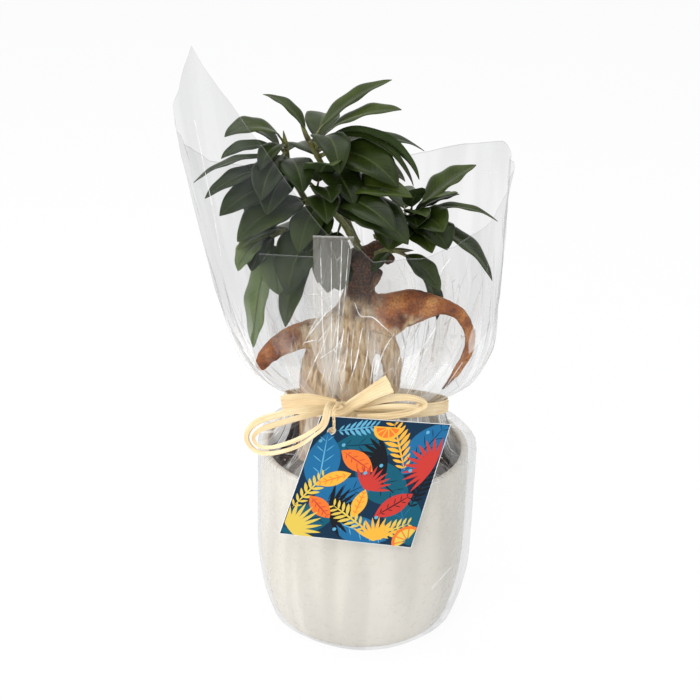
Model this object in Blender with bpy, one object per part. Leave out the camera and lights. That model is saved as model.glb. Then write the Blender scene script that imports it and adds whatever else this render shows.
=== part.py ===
"""Ginseng ficus in a round white cover pot, wrapped in clear film tied with raffia and hung with a card tag.

Metres, +Z up. The origin lies under the middle of the pot, on the surface that the wrapped pot stands on.
"""

import math

import bmesh
import bpy
from mathutils import Matrix, Vector

MM = 0.001
GAP = 0.3 * MM  # clearance between pieces that touch

# Film wrap
FILM_THICKNESS = 0.3 * MM
FILM_STEPS = 48  # points round the wrap
NECK_X, NECK_Y, NECK_SHIFT_Y = 45.5 * MM, 38.0 * MM, -1.0 * MM  # half width, half depth, centre of the neck
NECK_Z, NECK_TILT, NECK_HALF = 137.5 * MM, 13.5 * MM, 4.5 * MM  # the tie rides up at the front

# Cover pot
POT_FOOT_Z = FILM_THICKNESS + GAP
POT_RADIUS = 60.4 * MM
POT_FOOT_INSET = 9.5 * MM  # how much narrower the foot is than the body
POT_TAPER_Z = 55.0 * MM  # the taper ends at this height
POT_RIM_Z = 111.0 * MM
POT_WALL = 4.6 * MM
POT_FLOOR = 6.0 * MM

# Nursery pot and soil
NURSERY_RIM_RADIUS = 54.0 * MM
NURSERY_FOOT_RADIUS = 41.0 * MM
NURSERY_RIM_Z = 104.5 * MM
NURSERY_WALL = 1.2 * MM
DRAIN_RADIUS = 4.0 * MM
DRAIN_CIRCLE = 26.0 * MM
SOIL_TOP = 100.0 * MM

# Card tag
TAG_SIDE = 77.5 * MM
TAG_THICKNESS = 0.8 * MM
TAG_CORNERS = {
    "top_left": Vector((-24.5, -72.0, 164.5)) * MM,
    "top_right": Vector((45.6, -53.4, 151.5)) * MM,
    "bottom_right": Vector((27.0, -58.8, 76.0)) * MM,
    "bottom_left": Vector((-45.6, -79.6, 96.0)) * MM,
}
TAG_HOLE_RADIUS = 2.2 * MM
TAG_HOLE_INSET = 9.0 * MM  # from both edges of the top left corner

# Leaves
PETIOLE_SHARE = 0.14  # part of a leaf's length that is its stalk
PETIOLE_RADIUS = 0.6 * MM
BLADE_THICKNESS = 0.6 * MM
BLADE_FOLD = math.radians(17)  # each half of the blade rises from the midrib


# ---------------------------------------------------------------- helpers

def material(name, colour, roughness, alpha=1.0):
    made = bpy.data.materials.new(name)
    made.use_nodes = True
    shader = made.node_tree.nodes["Principled BSDF"]
    shader.inputs["Base Color"].default_value = (*colour, 1.0)
    shader.inputs["Roughness"].default_value = roughness
    shader.inputs["Metallic"].default_value = 0.0
    shader.inputs["Alpha"].default_value = alpha
    return made


def place(name, shape, finish, smooth_angle=40):
    """Turns a bmesh into a named object with its normals facing out."""
    bmesh.ops.recalc_face_normals(shape, faces=shape.faces)
    mesh = bpy.data.meshes.new(name)
    shape.to_mesh(mesh)
    shape.free()
    mesh.shade_smooth()
    mesh.set_sharp_from_angle(angle=math.radians(smooth_angle))
    mesh.materials.append(finish)
    piece = bpy.data.objects.new(name, mesh)
    bpy.context.scene.collection.objects.link(piece)
    return piece


def cutter(name, shape):
    piece = place(name, shape, bpy.data.materials["cutter"])
    piece.hide_render = True
    piece.display_type = "WIRE"
    return piece


def cut(piece, tool):
    boolean = piece.modifiers.new("cut", "BOOLEAN")
    boolean.operation = "DIFFERENCE"
    boolean.object = tool


def bridge(shape, rings, closed=True):
    """Joins each ring of vertices to the next with quads."""
    for lower, upper in zip(rings, rings[1:]):
        count = len(lower)
        for i in range(count if closed else count - 1):
            j = (i + 1) % count
            shape.faces.new((lower[i], lower[j], upper[j], upper[i]))


def cap(shape, ring, apex):
    tip = shape.verts.new(apex)
    for i, vertex in enumerate(ring):
        shape.faces.new((vertex, ring[(i + 1) % len(ring)], tip))


def turned(shape, profile, steps):
    """Turns a profile of (radius, height) round the Z axis; its ends lie on the axis."""
    rings = []
    angles = [math.tau * i / steps for i in range(steps)]
    for radius, height in profile[1:-1]:
        ring = [(radius * math.cos(a), radius * math.sin(a), height) for a in angles]
        rings.append([shape.verts.new(point) for point in ring])
    bridge(shape, rings)
    cap(shape, rings[0], (0, 0, profile[0][1]))
    cap(shape, rings[-1], (0, 0, profile[-1][1]))


def smooth_path(knots, steps):
    """Catmull-Rom curve through knots of any length, steps points to a span."""
    ends = [[2 * a - b for a, b in zip(knots[0], knots[1])]]
    tail = [[2 * a - b for a, b in zip(knots[-1], knots[-2])]]
    run = ends + [list(knot) for knot in knots] + tail
    points = []
    for p0, p1, p2, p3 in zip(run, run[1:], run[2:], run[3:]):
        for k in range(steps):
            t = k / steps
            points.append([
                b + 0.5 * ((c - a) * t + (2 * a - 5 * b + 4 * c - d) * t**2 + (3 * b - a - 3 * c + d) * t**3)
                for a, b, c, d in zip(p0, p1, p2, p3)
            ])
    points.append(list(knots[-1]))
    return points


def path_frames(points):
    """A tangent and a steady normal at each point of a path."""
    frames = []
    normal = None
    for i, point in enumerate(points):
        ahead = points[min(i + 1, len(points) - 1)]
        behind = points[max(i - 1, 0)]
        tangent = (ahead - behind).normalized()
        if normal is None:
            normal = tangent.orthogonal().normalized()
        normal = (normal - tangent * normal.dot(tangent)).normalized()
        frames.append((point, tangent, normal))
    return frames


def limb(shape, knots, sides, steps, round_ends=True):
    """A round limb through knots of (x, y, z, radius) in millimetres."""
    run = [(Vector(p[:3]) * MM, max(p[3], 0.2) * MM) for p in smooth_path(knots, steps)]
    frames = path_frames([point for point, _ in run])
    stations = [(point, normal, tangent, run[i][1]) for i, (point, tangent, normal) in enumerate(frames)]
    first, last = stations[0], stations[-1]
    if round_ends:
        stations.insert(0, (first[0] - first[2] * first[3] * 0.6, first[1], first[2], first[3] * 0.7))
        stations.append((last[0] + last[2] * last[3] * 0.6, last[1], last[2], last[3] * 0.7))
    rings = []
    for point, normal, tangent, radius in stations:
        other = tangent.cross(normal)
        rings.append([
            shape.verts.new(point + (normal * math.cos(a) + other * math.sin(a)) * radius)
            for a in (math.tau * i / sides for i in range(sides))
        ])
    bridge(shape, rings)
    reach = 0.25 if round_ends else 0.05
    cap(shape, rings[0], stations[0][0] - first[2] * first[3] * reach)
    cap(shape, rings[-1], stations[-1][0] + last[2] * last[3] * reach)


def ribbon(shape, knots, thickness, across, steps):
    """A flat strip through knots of (x, y, z, width) in millimetres, its width along the vector across."""
    run = smooth_path(knots, steps)
    rings = []
    for (point, tangent, _), knot in zip(path_frames([Vector(p[:3]) * MM for p in run]), run):
        side = (across - tangent * across.dot(tangent)).normalized()
        up = tangent.cross(side)
        width = knot[3] * MM
        corners = ((-0.5, -0.3), (0.0, -0.5), (0.5, -0.3), (0.5, 0.3), (0.0, 0.5), (-0.5, 0.3))
        rings.append([shape.verts.new(point + side * width * u + up * thickness * v) for u, v in corners])
    bridge(shape, rings)
    shape.faces.new(rings[0])
    shape.faces.new(rings[-1])


# ---------------------------------------------------------------- scene and finishes

for old in list(bpy.data.objects):
    bpy.data.objects.remove(old, do_unlink=True)

GLAZE = material("white_glaze", (0.80, 0.78, 0.74), 0.35)
NURSERY_PLASTIC = material("nursery_plastic", (0.05, 0.035, 0.03), 0.55)
POTTING_SOIL = material("potting_soil", (0.07, 0.045, 0.03), 0.95)
BARK = material("root_bark", (0.30, 0.15, 0.07), 0.75)
GREEN_STEM = material("green_stem", (0.16, 0.18, 0.07), 0.5)
LEAF = material("leaf", (0.035, 0.07, 0.025), 0.32)
CLEAR_FILM = material("clear_film", (0.86, 0.87, 0.88), 0.08, alpha=0.18)
RAFFIA = material("raffia", (0.85, 0.68, 0.42), 0.7)
CARD = material("printed_card", (0.10, 0.25, 0.36), 0.45)
material("cutter", (1.0, 0.0, 1.0), 1.0)


# ---------------------------------------------------------------- cover pot, nursery pot and soil

def pot_radius(height):
    """Outer radius of the cover pot: straight walls that draw in towards the foot."""
    drop = max(0.0, 1 - height / POT_TAPER_Z)
    return POT_RADIUS - POT_FOOT_INSET * drop**2.2


def make_cover_pot():
    outside = [(pot_radius(z) - inset, z) for z, inset in (
        (POT_FOOT_Z, 5.0 * MM), (1.6 * MM, 2.0 * MM), (4.5 * MM, 0.0), (13 * MM, 0.0),
        (26 * MM, 0.0), (42 * MM, 0.0), (80 * MM, 0.0), (109.0 * MM, 0.2 * MM), (POT_RIM_Z, 1.4 * MM),
    )]
    floor = POT_FOOT_Z + POT_FLOOR
    inside = [(pot_radius(z) - POT_WALL - inset, z) for z, inset in (
        (POT_RIM_Z, -0.8 * MM), (109.0 * MM, 0.0), (80 * MM, 0.0), (42 * MM, 0.0),
        (26 * MM, 0.0), (13 * MM, 0.6 * MM), (floor, 4.0 * MM),
    )]
    shape = bmesh.new()
    turned(shape, [(0, POT_FOOT_Z)] + outside + inside + [(0, floor)], 48)
    place("cover_pot", shape, GLAZE, 50)


def nursery_radius(height):
    share = (height - nursery_foot()) / (NURSERY_RIM_Z - nursery_foot())
    return NURSERY_FOOT_RADIUS + (NURSERY_RIM_RADIUS - 1.5 * MM - NURSERY_FOOT_RADIUS) * share


def nursery_foot():
    return POT_FOOT_Z + POT_FLOOR + GAP


def make_nursery_pot():
    foot, lip = nursery_foot(), NURSERY_RIM_Z - 6 * MM
    profile = [
        (0, foot), (nursery_radius(foot), foot), (nursery_radius(lip), lip),
        (NURSERY_RIM_RADIUS, lip + 0.5 * MM), (NURSERY_RIM_RADIUS, NURSERY_RIM_Z),
        (nursery_radius(lip) - NURSERY_WALL, NURSERY_RIM_Z),
        (nursery_radius(lip) - NURSERY_WALL, lip),
        (nursery_radius(foot) - NURSERY_WALL, foot + NURSERY_WALL), (0, foot + NURSERY_WALL),
    ]
    shape = bmesh.new()
    turned(shape, profile, 40)
    pot = place("nursery_pot", shape, NURSERY_PLASTIC, 30)
    drains = bmesh.new()
    for quarter in range(4):
        angle = math.radians(45 + 90 * quarter)
        centre = Matrix.Translation((DRAIN_CIRCLE * math.cos(angle), DRAIN_CIRCLE * math.sin(angle), foot))
        bmesh.ops.create_cone(
            drains, cap_ends=True, segments=12, radius1=DRAIN_RADIUS, radius2=DRAIN_RADIUS,
            depth=4 * MM, matrix=centre,
        )
    cut(pot, cutter("drain_cutter", drains))


# The swollen root: (x, y, z, radius) in millimetres along each limb, from the soil upwards
CAUDEX_LIMBS = (
    ((-18, 2, 88, 14), (-18, 2, 110, 18), (-17, 1, 136, 20.5), (-15.5, 0, 158, 20), (-13, 0, 176, 17),
     (-8, 0, 190, 13), (-6, 0, 202, 9.5), (-5.5, 0, 214, 8), (-5.5, 0, 225, 9)),
    ((-26, 3, 168, 9), (-30, 4, 150, 9), (-29, 3, 128, 9), (-34, 4, 90, 6.5)),
    ((-8, -8, 176, 8), (-11, -13, 160, 8.5), (-13, -15, 136, 9), (-15, -15, 90, 7.5)),
    ((6, 0, 184, 7), (13, -1, 168, 6), (14.5, -2, 150, 5), (13, -2, 130, 5), (16, -3, 90, 5)),
    ((-12, 9, 174, 9), (-15, 14, 158, 9), (-16, 15, 130, 9.5), (-13, 16, 90, 8)),
)
AERIAL_LIMBS = (
    ((-4, 0, 192, 10), (10, -1, 193.5, 11), (24, -2, 198, 10.5), (33, -3, 199.5, 7.5), (42, -4, 199.5, 4.8),
     (51, -4, 195, 3.9), (57, -4, 184, 3.7), (57, -4, 173, 3.3), (52, -4, 162, 2.8), (46, -4, 152, 2.0),
     (42, -4, 147, 1.3)),
    ((-14, 0, 178, 11), (-28, -1, 180, 9), (-41, -2, 178, 7.2), (-50, -3, 173, 6.2), (-57, -3, 166, 5.2),
     (-60.5, -3, 160, 4.4)),
    ((-5, 1, 224, 6), (3, 1, 230, 5.5), (7, 1, 233, 4.5)),
)


def make_trunk():
    """One grown piece: swollen legs, trunk, arching aerial roots and the stub of a cut branch."""
    shape = bmesh.new()
    for knots in CAUDEX_LIMBS:
        limb(shape, knots, 12, 3)
    for knots in AERIAL_LIMBS:
        limb(shape, knots, 12, 3)
    trunk = place("trunk_and_roots", shape, BARK, 60)
    skin = trunk.modifiers.new("grown_together", "REMESH")
    skin.mode = "VOXEL"
    skin.voxel_size = 1.8 * MM
    thin = trunk.modifiers.new("fewer_faces", "DECIMATE")
    thin.ratio = 0.13


def make_soil():
    foot = nursery_foot() + NURSERY_WALL + GAP
    inset = NURSERY_WALL + GAP + 0.2 * MM
    neck = NURSERY_RIM_Z - 6 * MM
    shape = bmesh.new()
    turned(shape, [
        (0, foot), (nursery_radius(foot) - inset, foot), (nursery_radius(neck) - inset, neck),
        (44 * MM, SOIL_TOP - 0.4 * MM), (34 * MM, SOIL_TOP + 0.6 * MM), (0, SOIL_TOP),
    ], 36)
    soil = place("soil", shape, POTTING_SOIL, 30)
    pocket = bmesh.new()
    for knots in CAUDEX_LIMBS:
        buried = [(x, y, z, radius + 0.9) for x, y, z, radius in knots if z < 140]
        limb(pocket, sorted(buried, key=lambda knot: knot[2]), 12, 3)
    tool = cutter("root_pocket", pocket)
    skin = tool.modifiers.new("one_pocket", "REMESH")
    skin.mode = "VOXEL"
    skin.voxel_size = 2.0 * MM
    thin = tool.modifiers.new("fewer_faces", "DECIMATE")
    thin.ratio = 0.2
    cut(soil, tool)


# ---------------------------------------------------------------- shoots and leaves

# Each shoot's centre line, in millimetres, from the head of the trunk to its growing tip
SHOOTS = {
    "left": ((-13.4, 1.2, 230.4), (-25, -1, 242), (-37, 0, 260), (-45, 0, 276), (-47, 0, 288)),
    "top": ((-7.7, 3, 233.2), (-17, 3, 254), (-27, 4, 276), (-35, 4, 291)),
    "centre": ((-6.4, -4.7, 232.9), (-16, -9, 250), (-26, -12, 262), (-30, -13, 268)),
    "right": ((2.2, 6, 235.6), (9, 7, 240), (17, 4, 246), (23, 2, 252)),
    "low_left": ((-12.9, -4.8, 229.2), (-28, -14, 241), (-43, -20, 248), (-56, -22, 246)),
    "low_right": ((3.3, -6.2, 230.2), (8, -9, 234), (14, -11, 235)),
}
SHOOT_RADII = (1.9, 1.3)  # millimetres, at the trunk and at the tip

# Each leaf: shoot, place along it (0 to 1), azimuth, rise at the stalk, length, width, droop and roll.
# Lengths are in millimetres and angles in degrees; azimuth 0 is +X and 270 faces the front.
LEAVES = (
    ("left", 1.00, 210, 65, 42, 20, 100, -10),
    ("left", 0.97, 160, 15, 40, 11, 60, 45),
    ("left", 0.92, 135, 38, 42, 13, 60, 10),
    ("left", 0.88, 188, 10, 52, 15, 50, 5),
    ("left", 0.78, 208, 12, 50, 17, 50, -5),
    ("left", 0.66, 220, 13, 50, 21, 50, -20),
    ("left", 0.60, 100, 25, 52, 20, 65, 0),
    ("top", 1.00, 157, 72, 36, 12, 70, 0),
    ("top", 0.98, 12, 62, 55, 17, 50, 5),
    ("top", 0.94, 338, 50, 57, 20, 45, 10),
    ("top", 0.90, 345, 46, 70, 13, 115, -50),
    ("top", 0.87, 85, 40, 52, 20, 70, 0),
    ("top", 0.84, 18, 26, 64, 16, 60, 5),
    ("top", 0.78, 321, 35, 58, 26, 80, 20),
    ("top", 0.70, 112, 20, 58, 20, 60, 0),
    ("centre", 1.00, 285, 66, 44, 22, 60, 0),
    ("centre", 0.97, 340, 30, 54, 22, 50, 15),
    ("centre", 0.90, 316, 19, 58, 22, 50, 15),
    ("centre", 0.84, 212, 4, 52, 25, 45, -15),
    ("centre", 0.74, 254, 2, 42, 19, 50, 0),
    ("centre", 0.68, 322, 12, 58, 28, 45, 15),
    ("centre", 0.56, 240, -12, 56, 28, 60, 0),
    ("right", 1.00, 18, 50, 42, 24, 30, 0),
    ("right", 0.96, 322, 46, 36, 16, 25, 0),
    ("right", 0.88, 286, 42, 34, 15, 45, 0),
    ("right", 0.86, 357, 35, 50, 14, 70, -5),
    ("right", 0.80, 304, 32, 35, 24, 50, 20),
    ("right", 0.76, 95, 30, 48, 20, 60, 0),
    ("right", 0.70, 347, 8, 61, 18, 75, 5),
    ("right", 0.64, 298, 18, 36, 18, 50, 10),
    ("right", 0.58, 262, 24, 36, 24, 55, 0),
    ("right", 0.45, 70, 5, 52, 20, 60, 0),
    ("low_right", 1.00, 332, -12, 32, 17, 45, 10),
    ("low_right", 0.86, 38, -26, 62, 18, 60, 0),
    ("low_right", 0.80, 240, 8, 22, 9, 50, 0),
    ("low_left", 1.00, 298, -38, 32, 20, 50, 0),
    ("low_left", 0.98, 215, -10, 26, 18, 60, 0),
    ("low_left", 0.92, 210, -68, 64, 26, 22, 0),
    ("low_left", 0.74, 205, 14, 30, 16, 60, 0),
    ("low_left", 0.50, 130, 5, 50, 20, 60, 0),
    ("low_left", 0.36, 233, -33, 50, 17, 50, 0),
)


def shoot_line(name):
    return smooth_path(SHOOTS[name], 6)


def shoot_point(name, share):
    """Point, direction and radius at a share of a shoot's length."""
    line = [Vector(p) for p in shoot_line(name)]
    place_along = share * (len(line) - 1)
    i = min(int(place_along), len(line) - 2)
    point = line[i].lerp(line[i + 1], place_along - i)
    radius = SHOOT_RADII[0] + (SHOOT_RADII[1] - SHOOT_RADII[0]) * share
    return point * MM, (line[i + 1] - line[i]).normalized(), radius * MM


def make_shoot(name):
    knots = SHOOTS[name]
    last = len(knots) - 1
    tapered = [
        (*knot, SHOOT_RADII[0] + (SHOOT_RADII[1] - SHOOT_RADII[0]) * i / last)
        for i, knot in enumerate(knots)
    ]
    shape = bmesh.new()
    limb(shape, tapered, 8, 3)
    place("shoot_" + name, shape, GREEN_STEM)


def blade_shape(t):
    """Half width of a blade, as a share of its widest, from its stalk (0) to its tip (1)."""
    return math.sin(math.pi * t**0.88) ** 0.8 if 0 < t < 1 else 0.0


def make_leaf(number, shoot, share, azimuth, rise, length, width, droop, roll):
    start, along, radius = shoot_point(shoot, share)
    azimuth, rise, droop, roll = (math.radians(value) for value in (azimuth, rise, droop, roll))
    heading = Vector((math.cos(azimuth), math.sin(azimuth), 0))
    level = Vector((-math.sin(azimuth), math.cos(azimuth), 0))
    up = Vector((0, 0, 1))
    first = heading * math.cos(rise) + up * math.sin(rise)
    outward = (first - along * first.dot(along)).normalized() if share < 1 else first
    slant = math.sqrt(max(0.0, 1 - first.dot(outward) ** 2))
    base = start + outward * (radius + GAP + PETIOLE_RADIUS * slant)
    reach = length * MM

    def frame(s):
        """Point, side and normal at a share s of the midrib, which bends down along an arc."""
        turn = rise - droop * s
        out = (math.sin(rise) - math.sin(turn)) / droop
        lift = (math.cos(turn) - math.cos(rise)) / droop
        point = base + (heading * out + up * lift) * reach
        normal = up * math.cos(turn) - heading * math.sin(turn)
        side = level * math.cos(roll) + normal * math.sin(roll)
        return point, side, normal * math.cos(roll) - level * math.sin(roll)

    shape = bmesh.new()
    rings = []
    for s in (0.0, PETIOLE_SHARE, 0.22, 0.36, 0.52, 0.68, 0.83, 0.93, 1.0):
        point, side, normal = frame(s)
        t = (s - PETIOLE_SHARE) / (1 - PETIOLE_SHARE)
        half = max(PETIOLE_RADIUS if t <= 0 else 0.25 * MM, width * MM / 2 * blade_shape(t))
        thick = max(2 * PETIOLE_RADIUS * (1 - max(t, 0) * 3), BLADE_THICKNESS * (1 - 0.5 * max(t, 0)))
        fold = BLADE_FOLD if 0 < t < 1 else 0.0
        edge_out, edge_up = half * math.cos(fold), half * math.sin(fold)
        rings.append([shape.verts.new(corner) for corner in (
            point + side * edge_out + normal * edge_up,
            point + normal * thick / 2,
            point - side * edge_out + normal * edge_up,
            point - normal * thick / 2,
        )])
    bridge(shape, rings)
    shape.faces.new(rings[0])
    shape.faces.new(rings[-1])
    place(f"leaf_{number:02d}", shape, LEAF, 60)


# ---------------------------------------------------------------- film wrap

# Height of the film's free edge, by azimuth: a tall corner at the front left, a lower one at the back right
FILM_EDGE = (
    (0, 284), (15, 289), (45, 277), (62, 268), (90, 254), (120, 256), (150, 268), (170, 286), (184, 301),
    (202, 320), (216, 345), (232, 325), (244, 303), (262, 261), (272, 256), (277, 247), (300, 248),
    (330, 260), (360, 284),
)
TALL_CORNER, TALL_CORNER_SPREAD = 212.0, 45.0  # azimuth of the tall corner, and how far its lean reaches
TALL_CORNER_LEAN = 30.0 * MM


def film_edge(degrees):
    for (a, low), (b, high) in zip(FILM_EDGE, FILM_EDGE[1:]):
        if a <= degrees <= b:
            return (low + (high - low) * (degrees - a) / (b - a)) * MM
    return FILM_EDGE[0][1] * MM


def neck_height(angle):
    return NECK_Z - NECK_TILT * math.sin(angle)


def flare(angle, climb):
    """Film above the tie: it swells out of the neck, rises nearly straight and leans in at its corner."""
    swell = 1 - math.exp(-climb / (14 * MM))
    left = NECK_X + 25 * MM * swell + 0.24 * climb
    right = NECK_X + 26 * MM * swell + 0.02 * climb
    front = NECK_Y + 14 * MM * swell + 0.06 * climb
    back = NECK_Y + 16 * MM * swell + 0.10 * climb
    pleat = 1 + 0.02 * swell * math.exp(-climb / (60 * MM)) * math.cos(12 * angle)
    x = (right - left) / 2 + (right + left) / 2 * math.cos(angle) * pleat
    y = NECK_SHIFT_Y + (back - front) / 2 + (back + front) / 2 * math.sin(angle) * pleat
    near = max(0.0, 1 - abs(math.degrees(angle) - TALL_CORNER) / TALL_CORNER_SPREAD)
    lean = TALL_CORNER_LEAN * near * max(0.0, climb / (100 * MM) - 1) ** 1.5
    return x + 0.13 * lean, y + lean


def make_film():
    """One sheet gathered up round the pot, closed under it and open above the plant."""
    angles = [math.tau * i / FILM_STEPS for i in range(FILM_STEPS)]
    base = FILM_THICKNESS
    rings = [[(22 * MM * math.cos(a), 22 * MM * math.sin(a), base) for a in angles]]
    for height, slack in (
        (base, -4.2), (1.4 * MM, -0.6), (4.5 * MM, 0.7), (14 * MM, 0.7), (28 * MM, 0.7),
        (48 * MM, 0.7), (80 * MM, 0.7), (102 * MM, 0.7), (110.5 * MM, 0.7), (113.5 * MM, -1.0),
    ):
        ring = []
        for a in angles:
            wave = 0.6 * (1 + math.cos(5 * a + 1)) + 2.4 * max(0.0, math.cos(a)) ** 2
            bulge = 0.0 if slack < 0.5 else wave
            radius = pot_radius(height) + (slack + bulge) * MM
            ring.append((radius * math.cos(a), radius * math.sin(a), height))
        rings.append(ring)
    for widen, drop, tilt in (
        (5.5 * MM, 19.5 * MM, 0.5), (2.0 * MM, 11.0 * MM, 0.4), (0.0, NECK_HALF, 0.0), (0.0, -NECK_HALF, 0.0),
    ):
        rings.append([(
            (NECK_X + widen) * math.cos(a),
            NECK_SHIFT_Y + (NECK_Y + widen) * math.sin(a),
            neck_height(a) - drop * (1 - tilt * math.sin(a)),
        ) for a in angles])
    for share in (0.04, 0.10, 0.18, 0.30, 0.45, 0.62, 0.80, 0.92, 1.0):
        ring = []
        for a in angles:
            foot = neck_height(a) + NECK_HALF
            climb = (film_edge(math.degrees(a)) - foot) * share
            ring.append((*flare(a, climb), foot + climb))
        rings.append(ring)
    shape = bmesh.new()
    loops = [[shape.verts.new(point) for point in ring] for ring in rings]
    cap(shape, loops[0], (0, 0, base))
    bridge(shape, loops)
    film = place("film_wrap", shape, CLEAR_FILM, 60)
    if film.data.polygons[0].normal.z > 0:
        film.data.flip_normals()
    solid = film.modifiers.new("thickness", "SOLIDIFY")
    solid.thickness = FILM_THICKNESS
    solid.offset = 1.0


# ---------------------------------------------------------------- raffia and tag

RAFFIA_THICKNESS = 1.4 * MM
KNOT_CENTRE = Vector((-12.5, -48.2, 157)) * MM
KNOT_SIZE = (8.0 * MM, 5.5 * MM, 6.0 * MM)
BOW_LEFT = (
    (-20.8, -49.5, 157, 5), (-33, -60, 159.5, 7), (-47.5, -64, 157, 8.5), (-58, -64, 152.5, 8.5),
    (-64.5, -61, 145, 7), (-60.5, -62, 137.5, 5), (-50, -72, 142, 5), (-37.5, -79, 151, 5),
    (-28, -82, 159, 4), (-21, -80, 164.5, 3),
)
BOW_RIGHT = (
    (-4.3, -48.5, 158, 4), (9.5, -52, 164, 7), (23, -51, 164.5, 7), (31, -48, 160, 6), (23, -53, 157.5, 4),
    (9.5, -56, 156.5, 4), (-5, -53, 154.5, 3),
)
TAIL_LEFT = ((-19.5, -45.7, 161.5, 5), (-30, -50.4, 163.3, 6), (-39, -52.8, 162.8, 7), (-46, -53.7, 161.3, 8))
TAIL_RIGHT = ((-10.6, -49.6, 164, 4), (-2, -54, 171, 5), (6, -58, 176.5, 6), (12, -59.5, 180, 7))
BOW_ACROSS = Vector((0.0, 0.35, 0.94))


def make_raffia_band():
    """The strands wound round the gathered neck."""
    shape = bmesh.new()
    rings = []
    for i in range(40):
        angle = math.tau * i / 40
        centre_z = neck_height(angle)
        ring = []
        for out, lift in ((0.9, -3.6), (2.0, -4.0), (2.5, 0.0), (2.0, 4.0), (0.9, 3.6)):
            ring.append(shape.verts.new((
                (NECK_X + out * MM) * math.cos(angle),
                NECK_SHIFT_Y + (NECK_Y + out * MM) * math.sin(angle),
                centre_z + lift * MM,
            )))
        rings.append(ring)
    bridge(shape, rings + rings[:1])
    place("raffia_band", shape, RAFFIA, 60)


def make_bow():
    knot = bmesh.new()
    bmesh.ops.create_icosphere(knot, subdivisions=2, radius=1.0)
    knot.transform(Matrix.Translation(KNOT_CENTRE) @ Matrix.Diagonal((*KNOT_SIZE, 1.0)))
    place("raffia_knot", knot, RAFFIA, 80)
    for name, knots in (
        ("raffia_loop_left", BOW_LEFT), ("raffia_loop_right", BOW_RIGHT),
        ("raffia_tail_left", TAIL_LEFT), ("raffia_tail_right", TAIL_RIGHT),
    ):
        shape = bmesh.new()
        ribbon(shape, knots, RAFFIA_THICKNESS, BOW_ACROSS, 3)
        place(name, shape, RAFFIA, 60)


def card_point(u, v, out=0.0):
    """Point on the card, u to the right and v upwards from 0 to 1, moved out along its normal."""
    bottom = TAG_CORNERS["bottom_left"].lerp(TAG_CORNERS["bottom_right"], u)
    top = TAG_CORNERS["top_left"].lerp(TAG_CORNERS["top_right"], u)
    left = TAG_CORNERS["bottom_left"].lerp(TAG_CORNERS["top_left"], v)
    right = TAG_CORNERS["bottom_right"].lerp(TAG_CORNERS["top_right"], v)
    normal = (right - left).cross(top - bottom).normalized()
    return bottom.lerp(top, v) + normal * out


def make_tag():
    card = bmesh.new()
    shares = [i / 4 for i in range(5)]
    sides = []
    for out in (TAG_THICKNESS / 2, -TAG_THICKNESS / 2):
        rows = [[card.verts.new(card_point(u, v, out)) for u in shares] for v in shares]
        bridge(card, rows, closed=False)
        sides.append(rows)
    rims = []
    for rows in sides:
        rims.append(
            rows[0] + [row[-1] for row in rows[1:]] + rows[-1][-2::-1] + [row[0] for row in rows[-2:0:-1]]
        )
    bridge(card, rims)
    tag = place("tag_card", card, CARD, 30)
    u, v = TAG_HOLE_INSET / TAG_SIDE, 1 - TAG_HOLE_INSET / TAG_SIDE
    hole = card_point(u, v)
    axis = (card_point(u, v, 1 * MM) - hole).normalized()
    punch = bmesh.new()
    bmesh.ops.create_cone(
        punch, cap_ends=True, segments=16, radius1=TAG_HOLE_RADIUS, radius2=TAG_HOLE_RADIUS, depth=6 * MM,
        matrix=Matrix.Translation(hole) @ Vector((0, 0, 1)).rotation_difference(axis).to_matrix().to_4x4(),
    )
    cut(tag, cutter("hole_punch", punch))
    hang = card_point(u, v + 1.1 * MM / TAG_SIDE)  # the card's weight draws the string up in the hole
    front, back = (hang + axis * 2.6 * MM) / MM, (hang - axis * 3.5 * MM) / MM
    string = bmesh.new()
    limb(string, (
        (-12.5, -53.4, 161, 0.6), (-14.5, -62, 167, 0.7), (-17.5, -72, 168.5, 0.7),
        (front.x + 0.4, front.y - 0.8, front.z + 4, 0.7), (*front, 0.7), (*back, 0.7),
        (-16.5, -61, 156, 0.7), (-14.5, -54.2, 155, 0.6),
    ), 8, 3)
    place("tag_string", string, RAFFIA)


# ---------------------------------------------------------------- assembly

make_cover_pot()
make_nursery_pot()
make_soil()
make_trunk()
for shoot_name in SHOOTS:
    make_shoot(shoot_name)
for index, leaf in enumerate(LEAVES, 1):
    make_leaf(index, *leaf)
make_film()
make_raffia_band()
make_bow()
make_tag()
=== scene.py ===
import math
import random

import bmesh
import bpy
import numpy as np
from mathutils import Matrix, Vector, noise


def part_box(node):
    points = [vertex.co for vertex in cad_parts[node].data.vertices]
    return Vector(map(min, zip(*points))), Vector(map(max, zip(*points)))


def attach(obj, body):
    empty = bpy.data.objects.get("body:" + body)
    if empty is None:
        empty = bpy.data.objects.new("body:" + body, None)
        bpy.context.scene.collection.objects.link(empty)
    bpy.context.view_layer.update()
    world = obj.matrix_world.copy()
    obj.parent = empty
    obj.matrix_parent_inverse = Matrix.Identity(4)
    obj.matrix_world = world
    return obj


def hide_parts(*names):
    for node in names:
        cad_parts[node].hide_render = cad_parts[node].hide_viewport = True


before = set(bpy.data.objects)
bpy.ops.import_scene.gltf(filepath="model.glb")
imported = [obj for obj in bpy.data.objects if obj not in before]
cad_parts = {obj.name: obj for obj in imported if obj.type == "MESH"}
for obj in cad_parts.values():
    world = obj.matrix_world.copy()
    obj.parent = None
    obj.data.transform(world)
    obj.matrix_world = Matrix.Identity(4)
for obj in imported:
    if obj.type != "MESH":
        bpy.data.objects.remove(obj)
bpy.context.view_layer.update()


# ---------------------------------------------------------------- camera, light and floor
# A pale tabletop in an evenly lit studio: a broad lamp in front, one at each side, one above and a soft
# surround. The camera stands in front of the pot, higher than its rim, and looks down on it.

WHITE = (1.0, 1.0, 1.0)


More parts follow.
